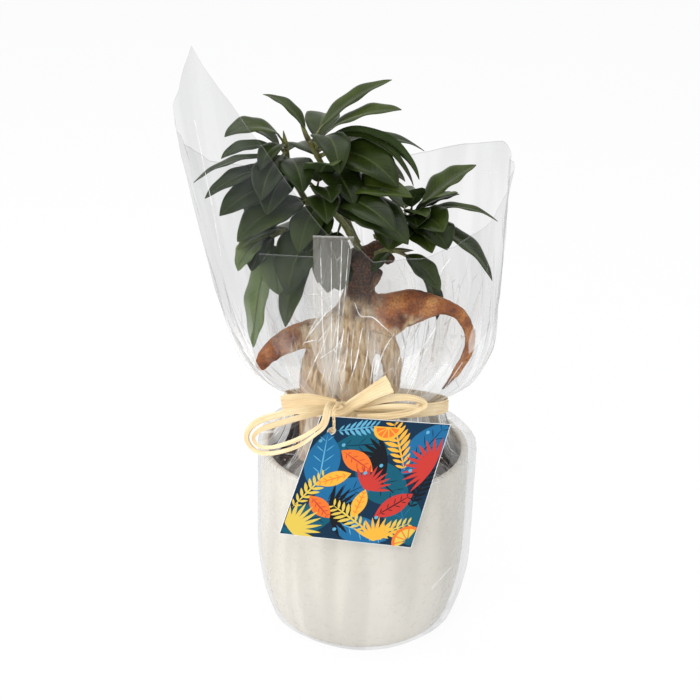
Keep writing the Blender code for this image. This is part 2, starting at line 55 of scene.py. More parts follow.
def put(name, data):
    thing = bpy.data.objects.new(name, data)
    bpy.context.scene.collection.objects.link(thing)
    return thing


camera_data = bpy.data.cameras.new("camera")
camera_data.lens = 81.67
camera_data.sensor_width = 36
camera = put("camera", camera_data)
camera.matrix_world = (
    Matrix.Translation((-0.010, -0.816, 0.550))
    @ Matrix.Rotation(math.radians(65.0), 4, "X")
    @ Matrix.Rotation(math.radians(1.5), 4, "Z")
)
bpy.context.scene.camera = camera
bpy.context.scene.view_settings.view_transform = "Standard"

LAMP_TARGET = Vector((0, 0, 0.16))
for name, place, size, power in (
    ("front_lamp", (-0.55, -1.10, 0.90), 0.9, 11.5),
    ("right_lamp", (1.10, -0.20, 0.70), 0.7, 2.2),
    ("left_lamp", (-1.10, 0.10, 0.80), 0.7, 4.5),
    ("top_lamp", (0.05, 0.25, 1.30), 0.8, 5.5),
):
    light = bpy.data.lights.new(name, "AREA")
    light.shape, light.size, light.energy = "SQUARE", size, power
    lamp = put(name, light)
    lamp.location = place
    lamp.rotation_euler = (LAMP_TARGET - Vector(place)).to_track_quat("-Z", "Y").to_euler()


def connect(tree, socket, value):
    """Links a socket to an output, or sets it to a plain number or colour."""
    if isinstance(value, bpy.types.NodeSocket):
        tree.links.new(value, socket)
    else:
        socket.default_value = (*value, 1.0) if socket.type == "RGBA" else value


def dress(tree, node, **settings):
    """Sets a node's sockets (capital names) and its own settings (small names), and gives its outputs."""
    for name, value in settings.items():
        if name[0].isupper():
            connect(tree, node.inputs[name.replace("_", " ")], value)
        else:
            setattr(node, name, value)
    return node.outputs


def add(tree, kind, **settings):
    return dress(tree, tree.nodes.new("ShaderNode" + kind), **settings)


def maths(tree, operation, first, second=0.0, clamp=False):
    made = tree.nodes.new("ShaderNodeMath")
    made.operation, made.use_clamp = operation, clamp
    connect(tree, made.inputs[0], first)
    connect(tree, made.inputs[1], second)
    return made.outputs[0]


def seen_directly(tree):
    """1 for rays that show the backdrop: from the camera, in a mirror or through glass."""
    path = add(tree, "LightPath")
    total = path["Is Camera Ray"]
    for other in ("Is Glossy Ray", "Is Transmission Ray"):
        total = maths(tree, "MAXIMUM", total, path[other])
    return total


def blend(tree, output, share, first, second):
    """Shows the second shader by its share and the first for the rest."""
    made = tree.nodes.new("ShaderNodeMixShader")
    for socket, source in zip(made.inputs, (share, first, second)):
        tree.links.new(source, socket)
    tree.links.new(made.outputs[0], tree.nodes[output].inputs["Surface"])


def new_finish(name, colour, roughness):
    made = bpy.data.materials.new(name)
    made.use_nodes = True
    shader = made.node_tree.nodes["Principled BSDF"]
    dress(made.node_tree, shader, Base_Color=colour, Roughness=roughness)
    return made, made.node_tree, shader


world = bpy.data.worlds.new("studio")
world.use_nodes = True
bpy.context.scene.world = world
tree = world.node_tree
surround = dress(tree, tree.nodes["Background"], Color=(0.92, 0.96, 1.0), Strength=0.56)[0]
backdrop = add(tree, "Background", Color=WHITE, Strength=1.0)[0]
blend(tree, "World Output", seen_directly(tree), surround, backdrop)

table_shape = bmesh.new()
bmesh.ops.create_circle(table_shape, cap_ends=True, segments=64, radius=3.0)
table_mesh = bpy.data.meshes.new("tabletop")
table_shape.to_mesh(table_mesh)
table_shape.free()
tabletop = put("tabletop", table_mesh)
table_finish, tree, shader = new_finish("tabletop_white", (0.92, 0.92, 0.92), 0.9)
shown = maths(tree, "MULTIPLY", seen_directly(tree), 0.92)
blend(tree, "Material Output", shown, shader.outputs[0], add(tree, "Emission", Color=WHITE)[0])
table_mesh.materials.append(table_finish)


# ---------------------------------------------------------------- cover pot
# A thrown and glazed white pot with straight walls that draw in at the foot. It stands free and holds the
# nursery pot. The glaze is warm white and glossy, a little uneven where it ran.

MM = 0.001
POT_SIDES = 128
POT_RADIUS = 60.4 * MM
POT_FOOT = 0.6 * MM
POT_FLOOR = 6.6 * MM
POT_WALL = 4.6 * MM
POT_DRAWN_IN = 9.5 * MM
POT_DRAWN_BELOW = 55 * MM


def ramp(tree, source, *stops):
    """Colours, or greys given as one number, along a source: stops of (position, colour)."""
    made = tree.nodes.new("ShaderNodeValToRGB")
    while len(made.color_ramp.elements) < len(stops):
        made.color_ramp.elements.new(0.5)
    for element, (position, colour) in zip(made.color_ramp.elements, stops):
        element.position = position
        element.color = (*(colour if isinstance(colour, tuple) else (colour,) * 3), 1.0)
    tree.links.new(source, made.inputs[0])
    return made.outputs[0]


def mix(tree, factor, first, second, how="MIX"):
    made = tree.nodes.new("ShaderNodeMix")
    made.data_type, made.blend_type = "RGBA", how
    for index, value in ((0, factor), (6, first), (7, second)):
        connect(tree, made.inputs[index], value)
    return made.outputs[2]


def bump(tree, shader, height, strength, depth):
    dress(tree, shader, Normal=add(tree, "Bump", Height=height, Strength=strength, Distance=depth)[0])


def new_group(name, kind, takes, gives):
    """An empty node group, with what comes in, all of one kind, and the numbers that go out."""
    group = bpy.data.node_groups.new(name, "ShaderNodeTree")
    for label in takes:
        group.interface.new_socket(name=label, in_out="INPUT", socket_type=kind)
    for label in gives:
        group.interface.new_socket(name=label, in_out="OUTPUT", socket_type="NodeSocketFloat")
    return group, group.nodes.new("NodeGroupInput").outputs, group.nodes.new("NodeGroupOutput")


# Soft cloudy variation and fine grain
MOTTLE, taken, given = new_group(
    "mottle", "NodeSocketFloat", ("Cloud Scale", "Grain Scale"), ("Clouds", "Grain"),
)
place = add(MOTTLE, "TexCoord")["Object"]
dress(
    MOTTLE, given,
    Clouds=add(MOTTLE, "TexNoise", Vector=place, Scale=taken["Cloud Scale"], Detail=3.0, Roughness=0.55)[0],
    Grain=add(MOTTLE, "TexNoise", Vector=place, Scale=taken["Grain Scale"], Detail=5.0, Roughness=0.6)[0],
)


def mottle(tree, cloud_scale, grain_scale):
    return add(tree, "Group", node_tree=MOTTLE, Cloud_Scale=cloud_scale, Grain_Scale=grain_scale).values()


def show(name, mesh_or_shape, finish, slot, *stands_for, smooth=50):
    """Puts a finished mesh on the part and hides the plain solids it stands for."""
    mesh = mesh_or_shape
    if isinstance(mesh_or_shape, bmesh.types.BMesh):
        mesh = bpy.data.meshes.new(name)
        mesh_or_shape.to_mesh(mesh)
        mesh_or_shape.free()
    mesh.shade_smooth()
    if smooth < 180:
        mesh.set_sharp_from_angle(angle=math.radians(smooth))
    for each in (finish if isinstance(finish, tuple) else (finish,)):
        mesh.materials.append(each)
    piece = put(name, mesh)
    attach(piece, "root")
    if stands_for:
        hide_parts(*stands_for)
    return piece


def round_spot(radius, angle, height=0.0):
    return Vector((radius * math.cos(angle), radius * math.sin(angle), height))


def turns(count):
    return [math.tau * i / count for i in range(count)]


def bridge(shape, rings):
    """Faces between closed rings of vertices."""
    return [
        shape.faces.new((lower[i - 1], lower[i], upper[i], upper[i - 1]))
        for lower, upper in zip(rings, rings[1:]) for i in range(len(lower))
    ]


def cap(shape, ring, apex):
    tip = shape.verts.new(apex)
    for i, vertex in enumerate(ring):
        shape.faces.new((ring[i - 1], vertex, tip))


def pot_radius(height):
    return POT_RADIUS - POT_DRAWN_IN * max(0.0, 1 - height / POT_DRAWN_BELOW) ** 2.2


pot_shape = bmesh.new()
profile = [(pot_radius(z * MM) - inset * MM, z * MM) for z, inset in (
    (0.6, 5.0), (1.0, 3.2), (1.8, 1.8), (3.0, 0.7), (4.5, 0.1), (7, 0.0), (13, 0.0), (20, 0.0), (28, 0.0),
    (36, 0.0), (44, 0.0), (55, 0.0), (80, 0.0), (108, 0.0), (109.7, 0.3), (110.7, 1.0), (111, 1.9),
)]
profile += [(pot_radius(z * MM) - POT_WALL + inset * MM, z * MM) for z, inset in (
    (111, 1.5), (110.6, 0.7), (109.5, 0.1), (107.5, 0.0), (80, 0.0), (44, 0.0), (28, 0.0), (13, -0.6),
    (6.6, -4.0),
)]
rings = [[pot_shape.verts.new(round_spot(radius, a, z)) for a in turns(POT_SIDES)] for radius, z in profile]
bridge(pot_shape, rings)
cap(pot_shape, rings[0], (0, 0, POT_FOOT))
cap(pot_shape, rings[-1], (0, 0, POT_FLOOR))
bmesh.ops.recalc_face_normals(pot_shape, faces=pot_shape.faces)
glaze, tree, shader = new_finish("white_glaze", (0.80, 0.76, 0.70), 0.28)
clouds, grain = mottle(tree, 9.0, 240.0)
dress(
    tree, shader, Roughness=ramp(tree, grain, (0.3, 0.24), (0.7, 0.36)),
    Base_Color=ramp(tree, clouds, (0.30, (0.76, 0.71, 0.62)), (0.62, (0.83, 0.785, 0.705))),
)
bump(tree, shader, clouds, 0.08, 0.6 * MM)
show("glazed_pot", pot_shape, glaze, "white_glaze", "cover_pot")


# ---------------------------------------------------------------- nursery pot
# Thin dark blown plastic with a rolled rim and drain holes, dusty from the bench. It stands loose on the
# floor of the cover pot and keeps its plain shape.

nursery, tree, shader = new_finish("nursery_plastic", (0.035, 0.024, 0.020), 0.5)
clouds, grain = mottle(tree, 30.0, 900.0)
dress(
    tree, shader, Roughness=ramp(tree, clouds, (0.3, 0.40), (0.8, 0.70)),
    Base_Color=ramp(tree, clouds, (0.35, (0.028, 0.020, 0.017)), (0.75, (0.075, 0.058, 0.045))),
)
bump(tree, shader, grain, 0.2, 0.2 * MM)
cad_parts["nursery_pot"].data.materials.clear()
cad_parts["nursery_pot"].data.materials.append(nursery)


# ---------------------------------------------------------------- soil
# Moist peat with bark chips and white perlite, pressed into the nursery pot round the root. Its top is rough
# and slightly domed, and the crumbs lie half sunk in it.

SOIL_SIDES = 96
SOIL_TOP = 100.0 * MM
SOIL_REACH = 49 * MM

low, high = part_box("soil")
soil_shape = bmesh.new()
rings = []
for share in (1.0, 0.95, 0.86, 0.76, 0.66, 0.56, 0.46, 0.36, 0.26, 0.16, 0.07):
    ring = []
    for angle in turns(SOIL_SIDES):
        point = round_spot(high.x * share, angle)
        lump = noise.fractal(point * 160, 0.9, 2.1, 4) * 1.3 * MM + noise.noise(point * 45) * 1.2 * MM
        point.z = SOIL_TOP - 1.1 * MM + lump * (1.0 if share < 0.9 else 0.2)
        ring.append(soil_shape.verts.new(point))
    rings.append(ring)
foot = [soil_shape.verts.new((v.co.x * 0.84, v.co.y * 0.84, low.z)) for v in rings[0]]
bridge(soil_shape, [foot] + rings)
cap(soil_shape, rings[-1], (0, 0, SOIL_TOP - 1 * MM))
cap(soil_shape, foot, (0, 0, low.z))
bmesh.ops.recalc_face_normals(soil_shape, faces=soil_shape.faces)
peat, tree, shader = new_finish("moist_peat", (0.05, 0.03, 0.02), 0.95)
_, grain = mottle(tree, 90.0, 700.0)
dress(tree, shader, Base_Color=ramp(
    tree, grain, (0.35, (0.018, 0.011, 0.008)), (0.55, (0.060, 0.038, 0.025)), (0.75, (0.16, 0.105, 0.07)),
))
bump(tree, shader, grain, 0.9, 0.8 * MM)
show("peat", soil_shape, peat, "potting_soil", "soil", smooth=180)


def shades(colour, darker, lighter):
    """A darker and a lighter shade of a colour."""
    return tuple(c * darker for c in colour), tuple(min(1.0, c * lighter) for c in colour)


scatter = random.Random(7)
for name, count, size, colour in (
    ("bark_chips", 260, (0.9, 2.4), (0.13, 0.07, 0.04)),
    ("perlite_grains", 46, (0.7, 1.4), (0.78, 0.76, 0.72)),
):
    crumbs = bmesh.new()
    for _ in range(count):
        radius = SOIL_REACH * math.sqrt(scatter.uniform(0.02, 0.94))
        angle = scatter.uniform(0, math.tau)
        turn = Matrix.Rotation(scatter.uniform(0, math.tau), 4, "Z")
        turn = turn @ Matrix.Rotation(scatter.uniform(-0.5, 0.5), 4, "X")
        half = scatter.uniform(*size) * MM
        flat = Matrix.Diagonal((half, half * scatter.uniform(0.5, 0.9), half * scatter.uniform(0.3, 0.6), 1))
        place = Matrix.Translation(round_spot(radius, angle, SOIL_TOP - 0.4 * MM))
        bmesh.ops.create_icosphere(crumbs, subdivisions=1, radius=1.0, matrix=place @ turn @ flat)
    crumb, tree, shader = new_finish(name, colour, 0.85)
    _, grain = mottle(tree, 200.0, 1500.0)
    dress(tree, shader, Base_Color=mix(tree, grain, *shades(colour, 0.6, 1.3)))
    bump(tree, shader, grain, 0.5, 0.2 * MM)
    show(name, crumbs, crumb, "potting_soil", smooth=30)


# ---------------------------------------------------------------- swollen root and trunk
# One living piece: a pale swollen root on several legs, a short dark trunk, and orange aerial roots that arch
# out of it. The bark is thin, with long wrinkles on the legs and rings on the aerial roots.

BARK_VOXEL = 1.15 * MM


def smooth_path(knots, steps):
    """Catmull-Rom curve through knots of any length, steps points to a span."""
    run = [[2 * a - b for a, b in zip(knots[0], knots[1])]] + [list(knot) for knot in knots]
    run.append([2 * a - b for a, b in zip(knots[-1], knots[-2])])
    points = []
    for p0, p1, p2, p3 in zip(run, run[1:], run[2:], run[3:]):
        for k in range(steps):
            t = k / steps
            points.append([
                b + 0.5 * ((c - a) * t + (2 * a - 5 * b + 4 * c - d) * t**2 + (3 * b - a - 3 * c + d) * t**3)
                for a, b, c, d in zip(p0, p1, p2, p3)
            ])
    points.append(list(knots[-1]))
    return points


def path_frames(points):
    """A tangent and a steady normal at each point of a path."""
    frames = []
    normal = None
    for i, point in enumerate(points):
        tangent = (points[min(i + 1, len(points) - 1)] - points[max(i - 1, 0)]).normalized()
        if normal is None:
            normal = tangent.orthogonal().normalized()
        normal = (normal - tangent * normal.dot(tangent)).normalized()
        frames.append((point, tangent, normal))
    return frames


def limb(shape, knots, sides, steps, radius_at=lambda share: 1.0):
    """A round limb through knots of (x, y, z, radius) in millimetres, with blunt ends."""
    run = [(Vector(p[:3]) * MM, max(p[3], 0.1) * MM) for p in smooth_path(knots, steps)]
    rings = []
    for i, (point, tangent, normal) in enumerate(path_frames([point for point, _ in run])):
        other = tangent.cross(normal)
        radius = run[i][1] * radius_at(i / (len(run) - 1))
        rings.append([
            shape.verts.new(point + (normal * math.cos(a) + other * math.sin(a)) * radius)
            for a in turns(sides)
        ])
    bridge(shape, rings)
    for ring, (end, radius), (before, _) in ((rings[0], run[0], run[1]), (rings[-1], run[-1], run[-2])):
        cap(shape, ring, end + (end - before).normalized() * radius * 0.4)


def step(value, low, high):
    """0 below low, 1 above high, smooth between."""
    t = np.clip((value - low) / (high - low), 0.0, 1.0)
    return t * t * (3 - 2 * t)


# Swellings, knots and small roots that sit on the main limbs
BARK_DETAILS = (
    ((-30, -6, 150, 3.0), (-27, -13, 132, 3.4), (-24, -16, 92, 3.2)),
    ((-2, -12, 172, 3.2), (-3, -16, 152, 3.6), (-2, -17, 128, 3.4), (0, -17, 92, 3.0)),
    ((-20, -14, 168, 3.0), (-21, -18, 146, 3.8), (-20, -20, 120, 3.2), (-22, -20, 92, 3.0)),
    ((4, -9, 190, 3.4), (12, -11, 186, 2.6), (19, -9, 189, 2.2)),
    ((-10, -6, 224, 3.8), (-9, -9, 229, 3.4)),
    ((-3, -6, 208, 2.6), (2, -7, 214, 2.8), (5, -5, 221, 3.0)),
    ((8, -4, 226, 3.6), (12, -5, 229, 3.2)),
    ((18, -8, 196, 2.2), (26, -9, 199, 2.6), (33, -8, 200, 2.0)),
    ((-36, -4, 176, 3.6), (-46, -6, 172, 3.2), (-54, -6, 166, 2.6)),
)
bark_shape = bmesh.new()
bark_shape.from_mesh(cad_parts["trunk_and_roots"].data)
for knots in BARK_DETAILS:
    limb(bark_shape, knots, sides=10, steps=4)
bark_mesh = bpy.data.meshes.new("root_and_trunk")
bark_shape.to_mesh(bark_mesh)
bark_shape.free()
bark_form = put("bark_form", bark_mesh)
grown = bark_form.modifiers.new("grown_together", "REMESH")
grown.mode = "VOXEL"
grown.voxel_size = BARK_VOXEL
relaxed = bark_form.modifiers.new("relaxed", "SMOOTH")
relaxed.factor = 0.5
relaxed.iterations = 9
bark_mesh = bpy.data.meshes.new_from_object(bark_form.evaluated_get(bpy.context.evaluated_depsgraph_get()))
bpy.data.objects.remove(bark_form)
bark_mesh.name = "root_and_trunk"


def read_vectors(items, name):
    values = np.empty(len(items) * 3)
    items.foreach_get(name, values)
    return values.reshape(-1, 3)


places = read_vectors(bark_mesh.vertices, "co")
normals = read_vectors(bark_mesh.vertex_normals, "vector")
x, y, z = (places / MM).T
patchy = np.array([noise.fractal(Vector(point) * 110, 0.9, 2.0, 3) for point in places]) * 9
aerial = step(x + patchy, 0, 11) * step(z + patchy, 187, 196) * (1 - step(z, 212, 220))
aerial = np.maximum(np.maximum(aerial, step(x + patchy, 20, 28)), step(-x + patchy, 32, 46))
trunk = step(z + patchy, 190, 206) * (1 - aerial)
relief = np.empty(len(places))
for i, point in enumerate(places):
    spot = Vector(point)
    wrinkles = 1 - 2 * abs(noise.noise(Vector((spot.x, spot.y, spot.z * 0.22)) * 330))
    lumps = noise.fractal(spot * 95, 0.9, 2.0, 3)
    rings = noise.noise(Vector((spot.x * 500, spot.y * 60, spot.z * 120)))
    bends = noise.fractal(spot * 320, 0.8, 2.1, 3)
    relief[i] = (
        (1 - aerial[i]) * (1 - trunk[i]) * (0.42 * wrinkles + 0.75 * lumps + 0.18 * bends)
        + aerial[i] * (0.25 * rings + 0.30 * lumps + 0.16 * bends)
        + trunk[i] * (0.55 * lumps + 0.45 * bends)
    )
places += normals * relief[:, None] * MM
bark_mesh.vertices.foreach_set("co", places.ravel())
for name, values in (("aerial", aerial), ("trunk", trunk), ("relief", relief * 0.5 + 0.5)):
    bark_mesh.attributes.new(name, "FLOAT", "POINT").data.foreach_set("value", values.astype(np.float32))

bark, tree, shader = new_finish("root_bark", (0.3, 0.16, 0.08), 0.7)
aerial_share, trunk_share, height = (
    add(tree, "Attribute", attribute_name=name)["Fac"] for name in ("aerial", "trunk", "relief")
)
clouds, grain = mottle(tree, 75.0, 900.0)
stretch = add(tree, "Mapping", Vector=add(tree, "TexCoord")["Object"], Scale=(1.0, 1.0, 0.16))[0]
streaks = add(tree, "TexNoise", Vector=stretch, Scale=420.0, Detail=5.0, Roughness=0.62)[0]
pale = ramp(
    tree, streaks, (0.30, (0.22, 0.120, 0.050)), (0.42, (0.50, 0.32, 0.16)), (0.54, (0.78, 0.58, 0.35)),
    (0.76, (0.94, 0.81, 0.59)),
)
rusty = ramp(
    tree, clouds, (0.34, (0.12, 0.033, 0.010)), (0.44, (0.32, 0.086, 0.016)), (0.54, (0.50, 0.160, 0.028)),
    (0.66, (0.70, 0.31, 0.086)),
)
specks = ramp(tree, grain, (0.38, (0.30, 0.24, 0.20)), (0.54, 1.0), (0.68, 1.0))
rusty = mix(tree, 0.75, rusty, specks, "MULTIPLY")
dark = ramp(
    tree, grain, (0.36, (0.020, 0.009, 0.004)), (0.52, (0.070, 0.026, 0.009)), (0.68, (0.26, 0.095, 0.028)),
)
skin = mix(tree, aerial_share, mix(tree, trunk_share, pale, dark), rusty)
# Painted shade: the bark is darkened where its relief is low, in the hollows between wrinkles and lumps
hollow_shade = ramp(tree, height, (0.15, (0.35, 0.30, 0.28)), (0.5, 1.0))
dress(
    tree, shader, Base_Color=mix(tree, 0.8, skin, hollow_shade, "MULTIPLY"),
    Roughness=ramp(tree, grain, (0.3, 0.5), (0.7, 0.85)),
)
bump(tree, shader, streaks, 0.6, 0.5 * MM)
show("root_and_trunk", bark_mesh, bark, "root_bark", "trunk_and_roots", smooth=180)


# ---------------------------------------------------------------- shoots
# Six green shoots grow from the head of the trunk. Old leaf stalks have left rings on them, and each ends in
# a pointed bud in its sheath.

# Each shoot's centre line, in millimetres, from the head of the trunk to its growing tip
SHOOTS = {
    "left": ((-13.4, 1.2, 230.4), (-25, -1, 242), (-37, 0, 260), (-45, 0, 276), (-47, 0, 288)),
    "top": ((-7.7, 3, 233.2), (-17, 3, 254), (-27, 4, 276), (-35, 4, 291)),
    "centre": ((-6.4, -4.7, 232.9), (-16, -9, 250), (-26, -12, 262), (-30, -13, 268)),
    "right": ((2.2, 6, 235.6), (9, 7, 240), (17, 4, 246), (23, 2, 252)),
    "low_left": ((-12.9, -4.8, 229.2), (-28, -14, 241), (-43, -20, 248), (-56, -22, 246)),
    "low_right": ((3.3, -6.2, 230.2), (8, -9, 234), (14, -11, 235)),
}
SHOOT_RADII = (2.0, 1.4)

stem, tree, shader = new_finish("shoot_skin", (0.14, 0.15, 0.05), 0.42)
clouds, grain = mottle(tree, 120.0, 900.0)
dress(tree, shader, Base_Color=ramp(
    tree, clouds, (0.32, (0.060, 0.050, 0.016)), (0.5, (0.13, 0.13, 0.035)), (0.68, (0.24, 0.25, 0.08)),
))
bump(tree, shader, grain, 0.35, 0.2 * MM)


def scarred(share):
    """Radius along a shoot: a raised ring where each old leaf stood."""
    return 1.0 + 0.16 * max(0.0, math.cos(share * math.tau * 5)) ** 6


for name, knots in SHOOTS.items():
    last = len(knots) - 1
    shoot_shape = bmesh.new()
    thick, thin = SHOOT_RADII
    run = [(*knot, thick + (thin - thick) * i / last) for i, knot in enumerate(knots)]
    limb(shoot_shape, run, sides=14, steps=12, radius_at=scarred)
    tip, before = Vector(knots[-1]), Vector(knots[-2])
    reach = (tip - before).normalized()
    bud = [(*(tip + reach * along), radius) for along, radius in ((-1, 1.3), (2, 1.5), (6, 0.9), (9.5, 0.2))]
    limb(shoot_shape, bud, sides=10, steps=4)
    show(f"shoot_{name}_skin", shoot_shape, stem, "green_stem", f"shoot_{name}", smooth=180)


# ---------------------------------------------------------------- leaves
# Leathery, glossy leaves on short stalks, in a rosette round each shoot. A blade is folded along its pale
# midrib, bends down under its weight, and is dull and paler underneath.

STALK_SHARE = 0.14
BLADE_FOLD = math.radians(17)
BLADE_THICKNESS = 0.4 * MM
BLADE_STATIONS = 26
BLADE_ACROSS = 12
STALK_STATIONS = 6
STALK_SIDES = 8
STALK_FINISH = 2

# Each leaf by its shoot: place along it (0 to 1), azimuth, rise at the stalk, length, width, droop and roll
LEAVES = {
    "left": (
        (1.00, 210, 65, 42, 20, 100, -10), (0.97, 160, 15, 40, 11, 60, 45), (0.92, 135, 38, 42, 13, 60, 10),
        (0.88, 188, 10, 52, 15, 50, 5), (0.78, 208, 12, 50, 17, 50, -5), (0.66, 220, 13, 50, 21, 50, -20),
        (0.60, 100, 25, 52, 20, 65, 0),
    ),
    "top": (
        (1.00, 157, 72, 36, 12, 70, 0), (0.98, 12, 62, 55, 17, 50, 5), (0.94, 338, 50, 57, 20, 45, 10),
        (0.90, 345, 46, 70, 13, 115, -50), (0.87, 85, 40, 52, 20, 70, 0), (0.84, 18, 26, 64, 16, 60, 5),
        (0.78, 321, 35, 58, 26, 80, 20), (0.70, 112, 20, 58, 20, 60, 0),
    ),
    "centre": (
        (1.00, 285, 66, 44, 22, 60, 0), (0.97, 340, 30, 54, 22, 50, 15), (0.90, 316, 19, 58, 22, 50, 15),
        (0.84, 212, 4, 52, 25, 45, -15), (0.74, 254, 2, 42, 19, 50, 0), (0.68, 322, 12, 58, 28, 45, 15),
        (0.56, 240, -12, 56, 28, 60, 0),
    ),
    "right": (
        (1.00, 18, 50, 42, 24, 30, 0), (0.96, 322, 46, 36, 16, 25, 0), (0.88, 286, 42, 34, 15, 45, 0),
        (0.86, 357, 35, 50, 14, 70, -5), (0.80, 304, 32, 35, 24, 50, 20), (0.76, 95, 30, 48, 20, 60, 0),
        (0.70, 347, 8, 61, 18, 75, 5), (0.64, 298, 18, 36, 18, 50, 10), (0.58, 262, 24, 36, 24, 55, 0),
        (0.45, 70, 5, 52, 20, 60, 0),
    ),
    "low_right": (
        (1.00, 332, -12, 32, 17, 45, 10), (0.86, 38, -26, 62, 18, 60, 0), (0.80, 240, 8, 22, 9, 50, 0),
    ),
    "low_left": (
        (1.00, 298, -38, 32, 20, 50, 0), (0.98, 215, -10, 26, 18, 60, 0), (0.92, 210, -68, 64, 26, 22, 0),
        (0.74, 205, 14, 30, 16, 60, 0), (0.50, 130, 5, 50, 20, 60, 0), (0.36, 233, -33, 50, 17, 50, 0),
    ),
}
# Shoots whose leaves are younger, by how much fresher their green is, and a pale leaf that hangs down
FRESHER_SHOOTS = {"right": 0.15, "low_left": 0.42}
HANGING_LEAF = 38
# Smaller leaves that fill the crown between the large ones, in the same terms
INNER_LEAVES = (
    ("top", 0.88, 288, 62, 52, 20, 125, 0), ("top", 0.80, 348, 25, 52, 24, 75, 0),
    ("top", 0.66, 292, 27, 46, 24, 70, 0), ("centre", 0.96, 281, 42, 40, 18, 60, 0),
    ("left", 0.95, 252, 7, 41, 20, 60, 0), ("left", 0.86, 285, 30, 39, 20, 80, 0),
    ("left", 0.72, 254, 14, 41, 20, 60, 0), ("centre", 0.82, 276, 30, 42, 18, 60, 0),
    ("centre", 0.64, 254, 0, 38, 22, 50, 0), ("top", 0.50, 294, 10, 31, 22, 60, 0),
    ("left", 0.50, 226, 3, 34, 20, 50, 0), ("low_left", 0.84, 219, -14, 26, 20, 60, 0),
    ("right", 0.92, 307, 9, 33, 26, 50, 0), ("right", 0.98, 295, 77, 21, 14, 40, 0),
    ("right", 0.78, 280, 38, 32, 20, 50, 0), ("right", 0.85, 7, 44, 30, 16, 40, 0),
    ("top", 0.93, 336, 42, 70, 9, 110, 0), ("left", 1.00, 246, 35, 32, 13, 90, 0),
    ("left", 0.82, 166, -10, 30, 16, 50, 0), ("top", 0.84, 55, 10, 35, 20, 60, 0),
    ("left", 0.62, 139, -7, 48, 20, 60, 0), ("right", 0.60, 58, -3, 37, 20, 60, 0),
    ("centre", 0.34, 254, -28, 40, 22, 55, 0), ("low_left", 0.10, 277, -40, 21, 17, 50, 0),
    ("centre", 0.16, 227, -12, 32, 20, 55, 0),
)


def spread(tree, value, low, high, to_low=0.0, to_high=1.0, how="LINEAR"):
    """A value carried over from one range to another."""
    return add(
        tree, "MapRange", interpolation_type=how, Value=value, From_Min=low, From_Max=high,
        To_Min=to_low, To_Max=to_high,
    )[0]


# Midrib and side veins, from a blade's coordinates, which run from 0 to 1 across and along
VEINS, taken, given = new_group(
    "leaf_veins", "NodeSocketFloat", ("Across", "Along"), ("Midrib", "Side Veins", "Relief"),
)
off_centre = maths(VEINS, "ABSOLUTE", maths(VEINS, "SUBTRACT", taken["Across"], 0.5))
midrib = maths(VEINS, "SUBTRACT", 1.0, maths(VEINS, "DIVIDE", off_centre, 0.045), True)
slanted = maths(VEINS, "SUBTRACT", taken["Along"], maths(VEINS, "MULTIPLY", off_centre, 0.42))
wave = maths(VEINS, "SUBTRACT", maths(VEINS, "FRACT", maths(VEINS, "MULTIPLY", slanted, 15.0)), 0.5)
side = maths(VEINS, "SUBTRACT", 1.0, maths(VEINS, "DIVIDE", maths(VEINS, "ABSOLUTE", wave), 0.10), True)
faint = maths(VEINS, "MULTIPLY", side, maths(VEINS, "SUBTRACT", 0.55, off_centre, True))
raised = maths(VEINS, "SUBTRACT", 0.0, maths(VEINS, "ADD", midrib, faint))
dress(VEINS, given, Midrib=midrib, Side_Veins=faint, Relief=raised)


def upper_green(tree, clouds):
    """Dark waxy green, fresher or paler by the leaf's own tone."""
    tone = add(tree, "Attribute", attribute_name="tone")["Fac"]
    deep = ramp(tree, clouds, (0.34, (0.006, 0.011, 0.002)), (0.66, (0.017, 0.029, 0.005)))
    fresh = ramp(tree, clouds, (0.34, (0.028, 0.046, 0.005)), (0.66, (0.066, 0.092, 0.011)))
    pale = ramp(tree, clouds, (0.34, (0.105, 0.150, 0.060)), (0.66, (0.165, 0.215, 0.095)))
    young = mix(tree, maths(tree, "MULTIPLY", tone, 2.0, True), deep, fresh)
    return mix(tree, spread(tree, tone, 0.5, 1.0), young, pale)


def lower_green(tree, clouds):
    return ramp(tree, clouds, (0.34, (0.030, 0.050, 0.016)), (0.66, (0.062, 0.092, 0.032)))


def leaf_finish(name, colour, roughness, green, side_veins, midrib, strength, depth):
    made, tree, shader = new_finish(name, colour, roughness)
    across, along, _ = add(tree, "SeparateXYZ", Vector=add(tree, "UVMap", uv_map="blade")[0]).values()
    veins = add(tree, "Group", node_tree=VEINS, Across=across, Along=along)
    clouds, _ = mottle(tree, 60.0, 1200.0)
    skin = mix(tree, veins["Side Veins"], green(tree, clouds), side_veins)
    dress(tree, shader, Specular_IOR_Level=0.15, Base_Color=mix(tree, veins["Midrib"], skin, midrib))
    if green is upper_green:
        dress(tree, shader, Roughness=ramp(tree, clouds, (0.3, 0.26), (0.7, 0.42)))
    bump(tree, shader, veins["Relief"], strength, depth)
    return made


def blade_shape(t):
    """Half width of a blade, as a share of its widest, from its stalk (0) to its tip (1)."""
    return math.sin(math.pi * t**0.88) ** 0.8 if 0 < t < 1 else 0.0


def shoot_point(name, share):
    """Point, direction and radius at a share of a shoot's length."""
    line = [Vector(p) for p in smooth_path(SHOOTS[name], 6)]
    place_along = share * (len(line) - 1)
    i = min(int(place_along), len(line) - 2)
    point = line[i].lerp(line[i + 1], place_along - i)
    return point * MM, (line[i + 1] - line[i]).normalized(), (1.9 - 0.6 * share) * MM


def weave(shape, layer, rows, second=()):
    """Faces between rows of (vertex, place on the layer); those in some columns take the second finish."""
    for lower, upper in zip(rows, rows[1:]):
        for k in range(len(lower) - 1):
            corners = (lower[k], lower[k + 1], upper[k + 1], upper[k])
            made = shape.faces.new([vertex for vertex, _ in corners])
            made.material_index = int(k in second)
            for loop, (_, spot) in zip(made.loops, corners):
                loop[layer].uv = spot


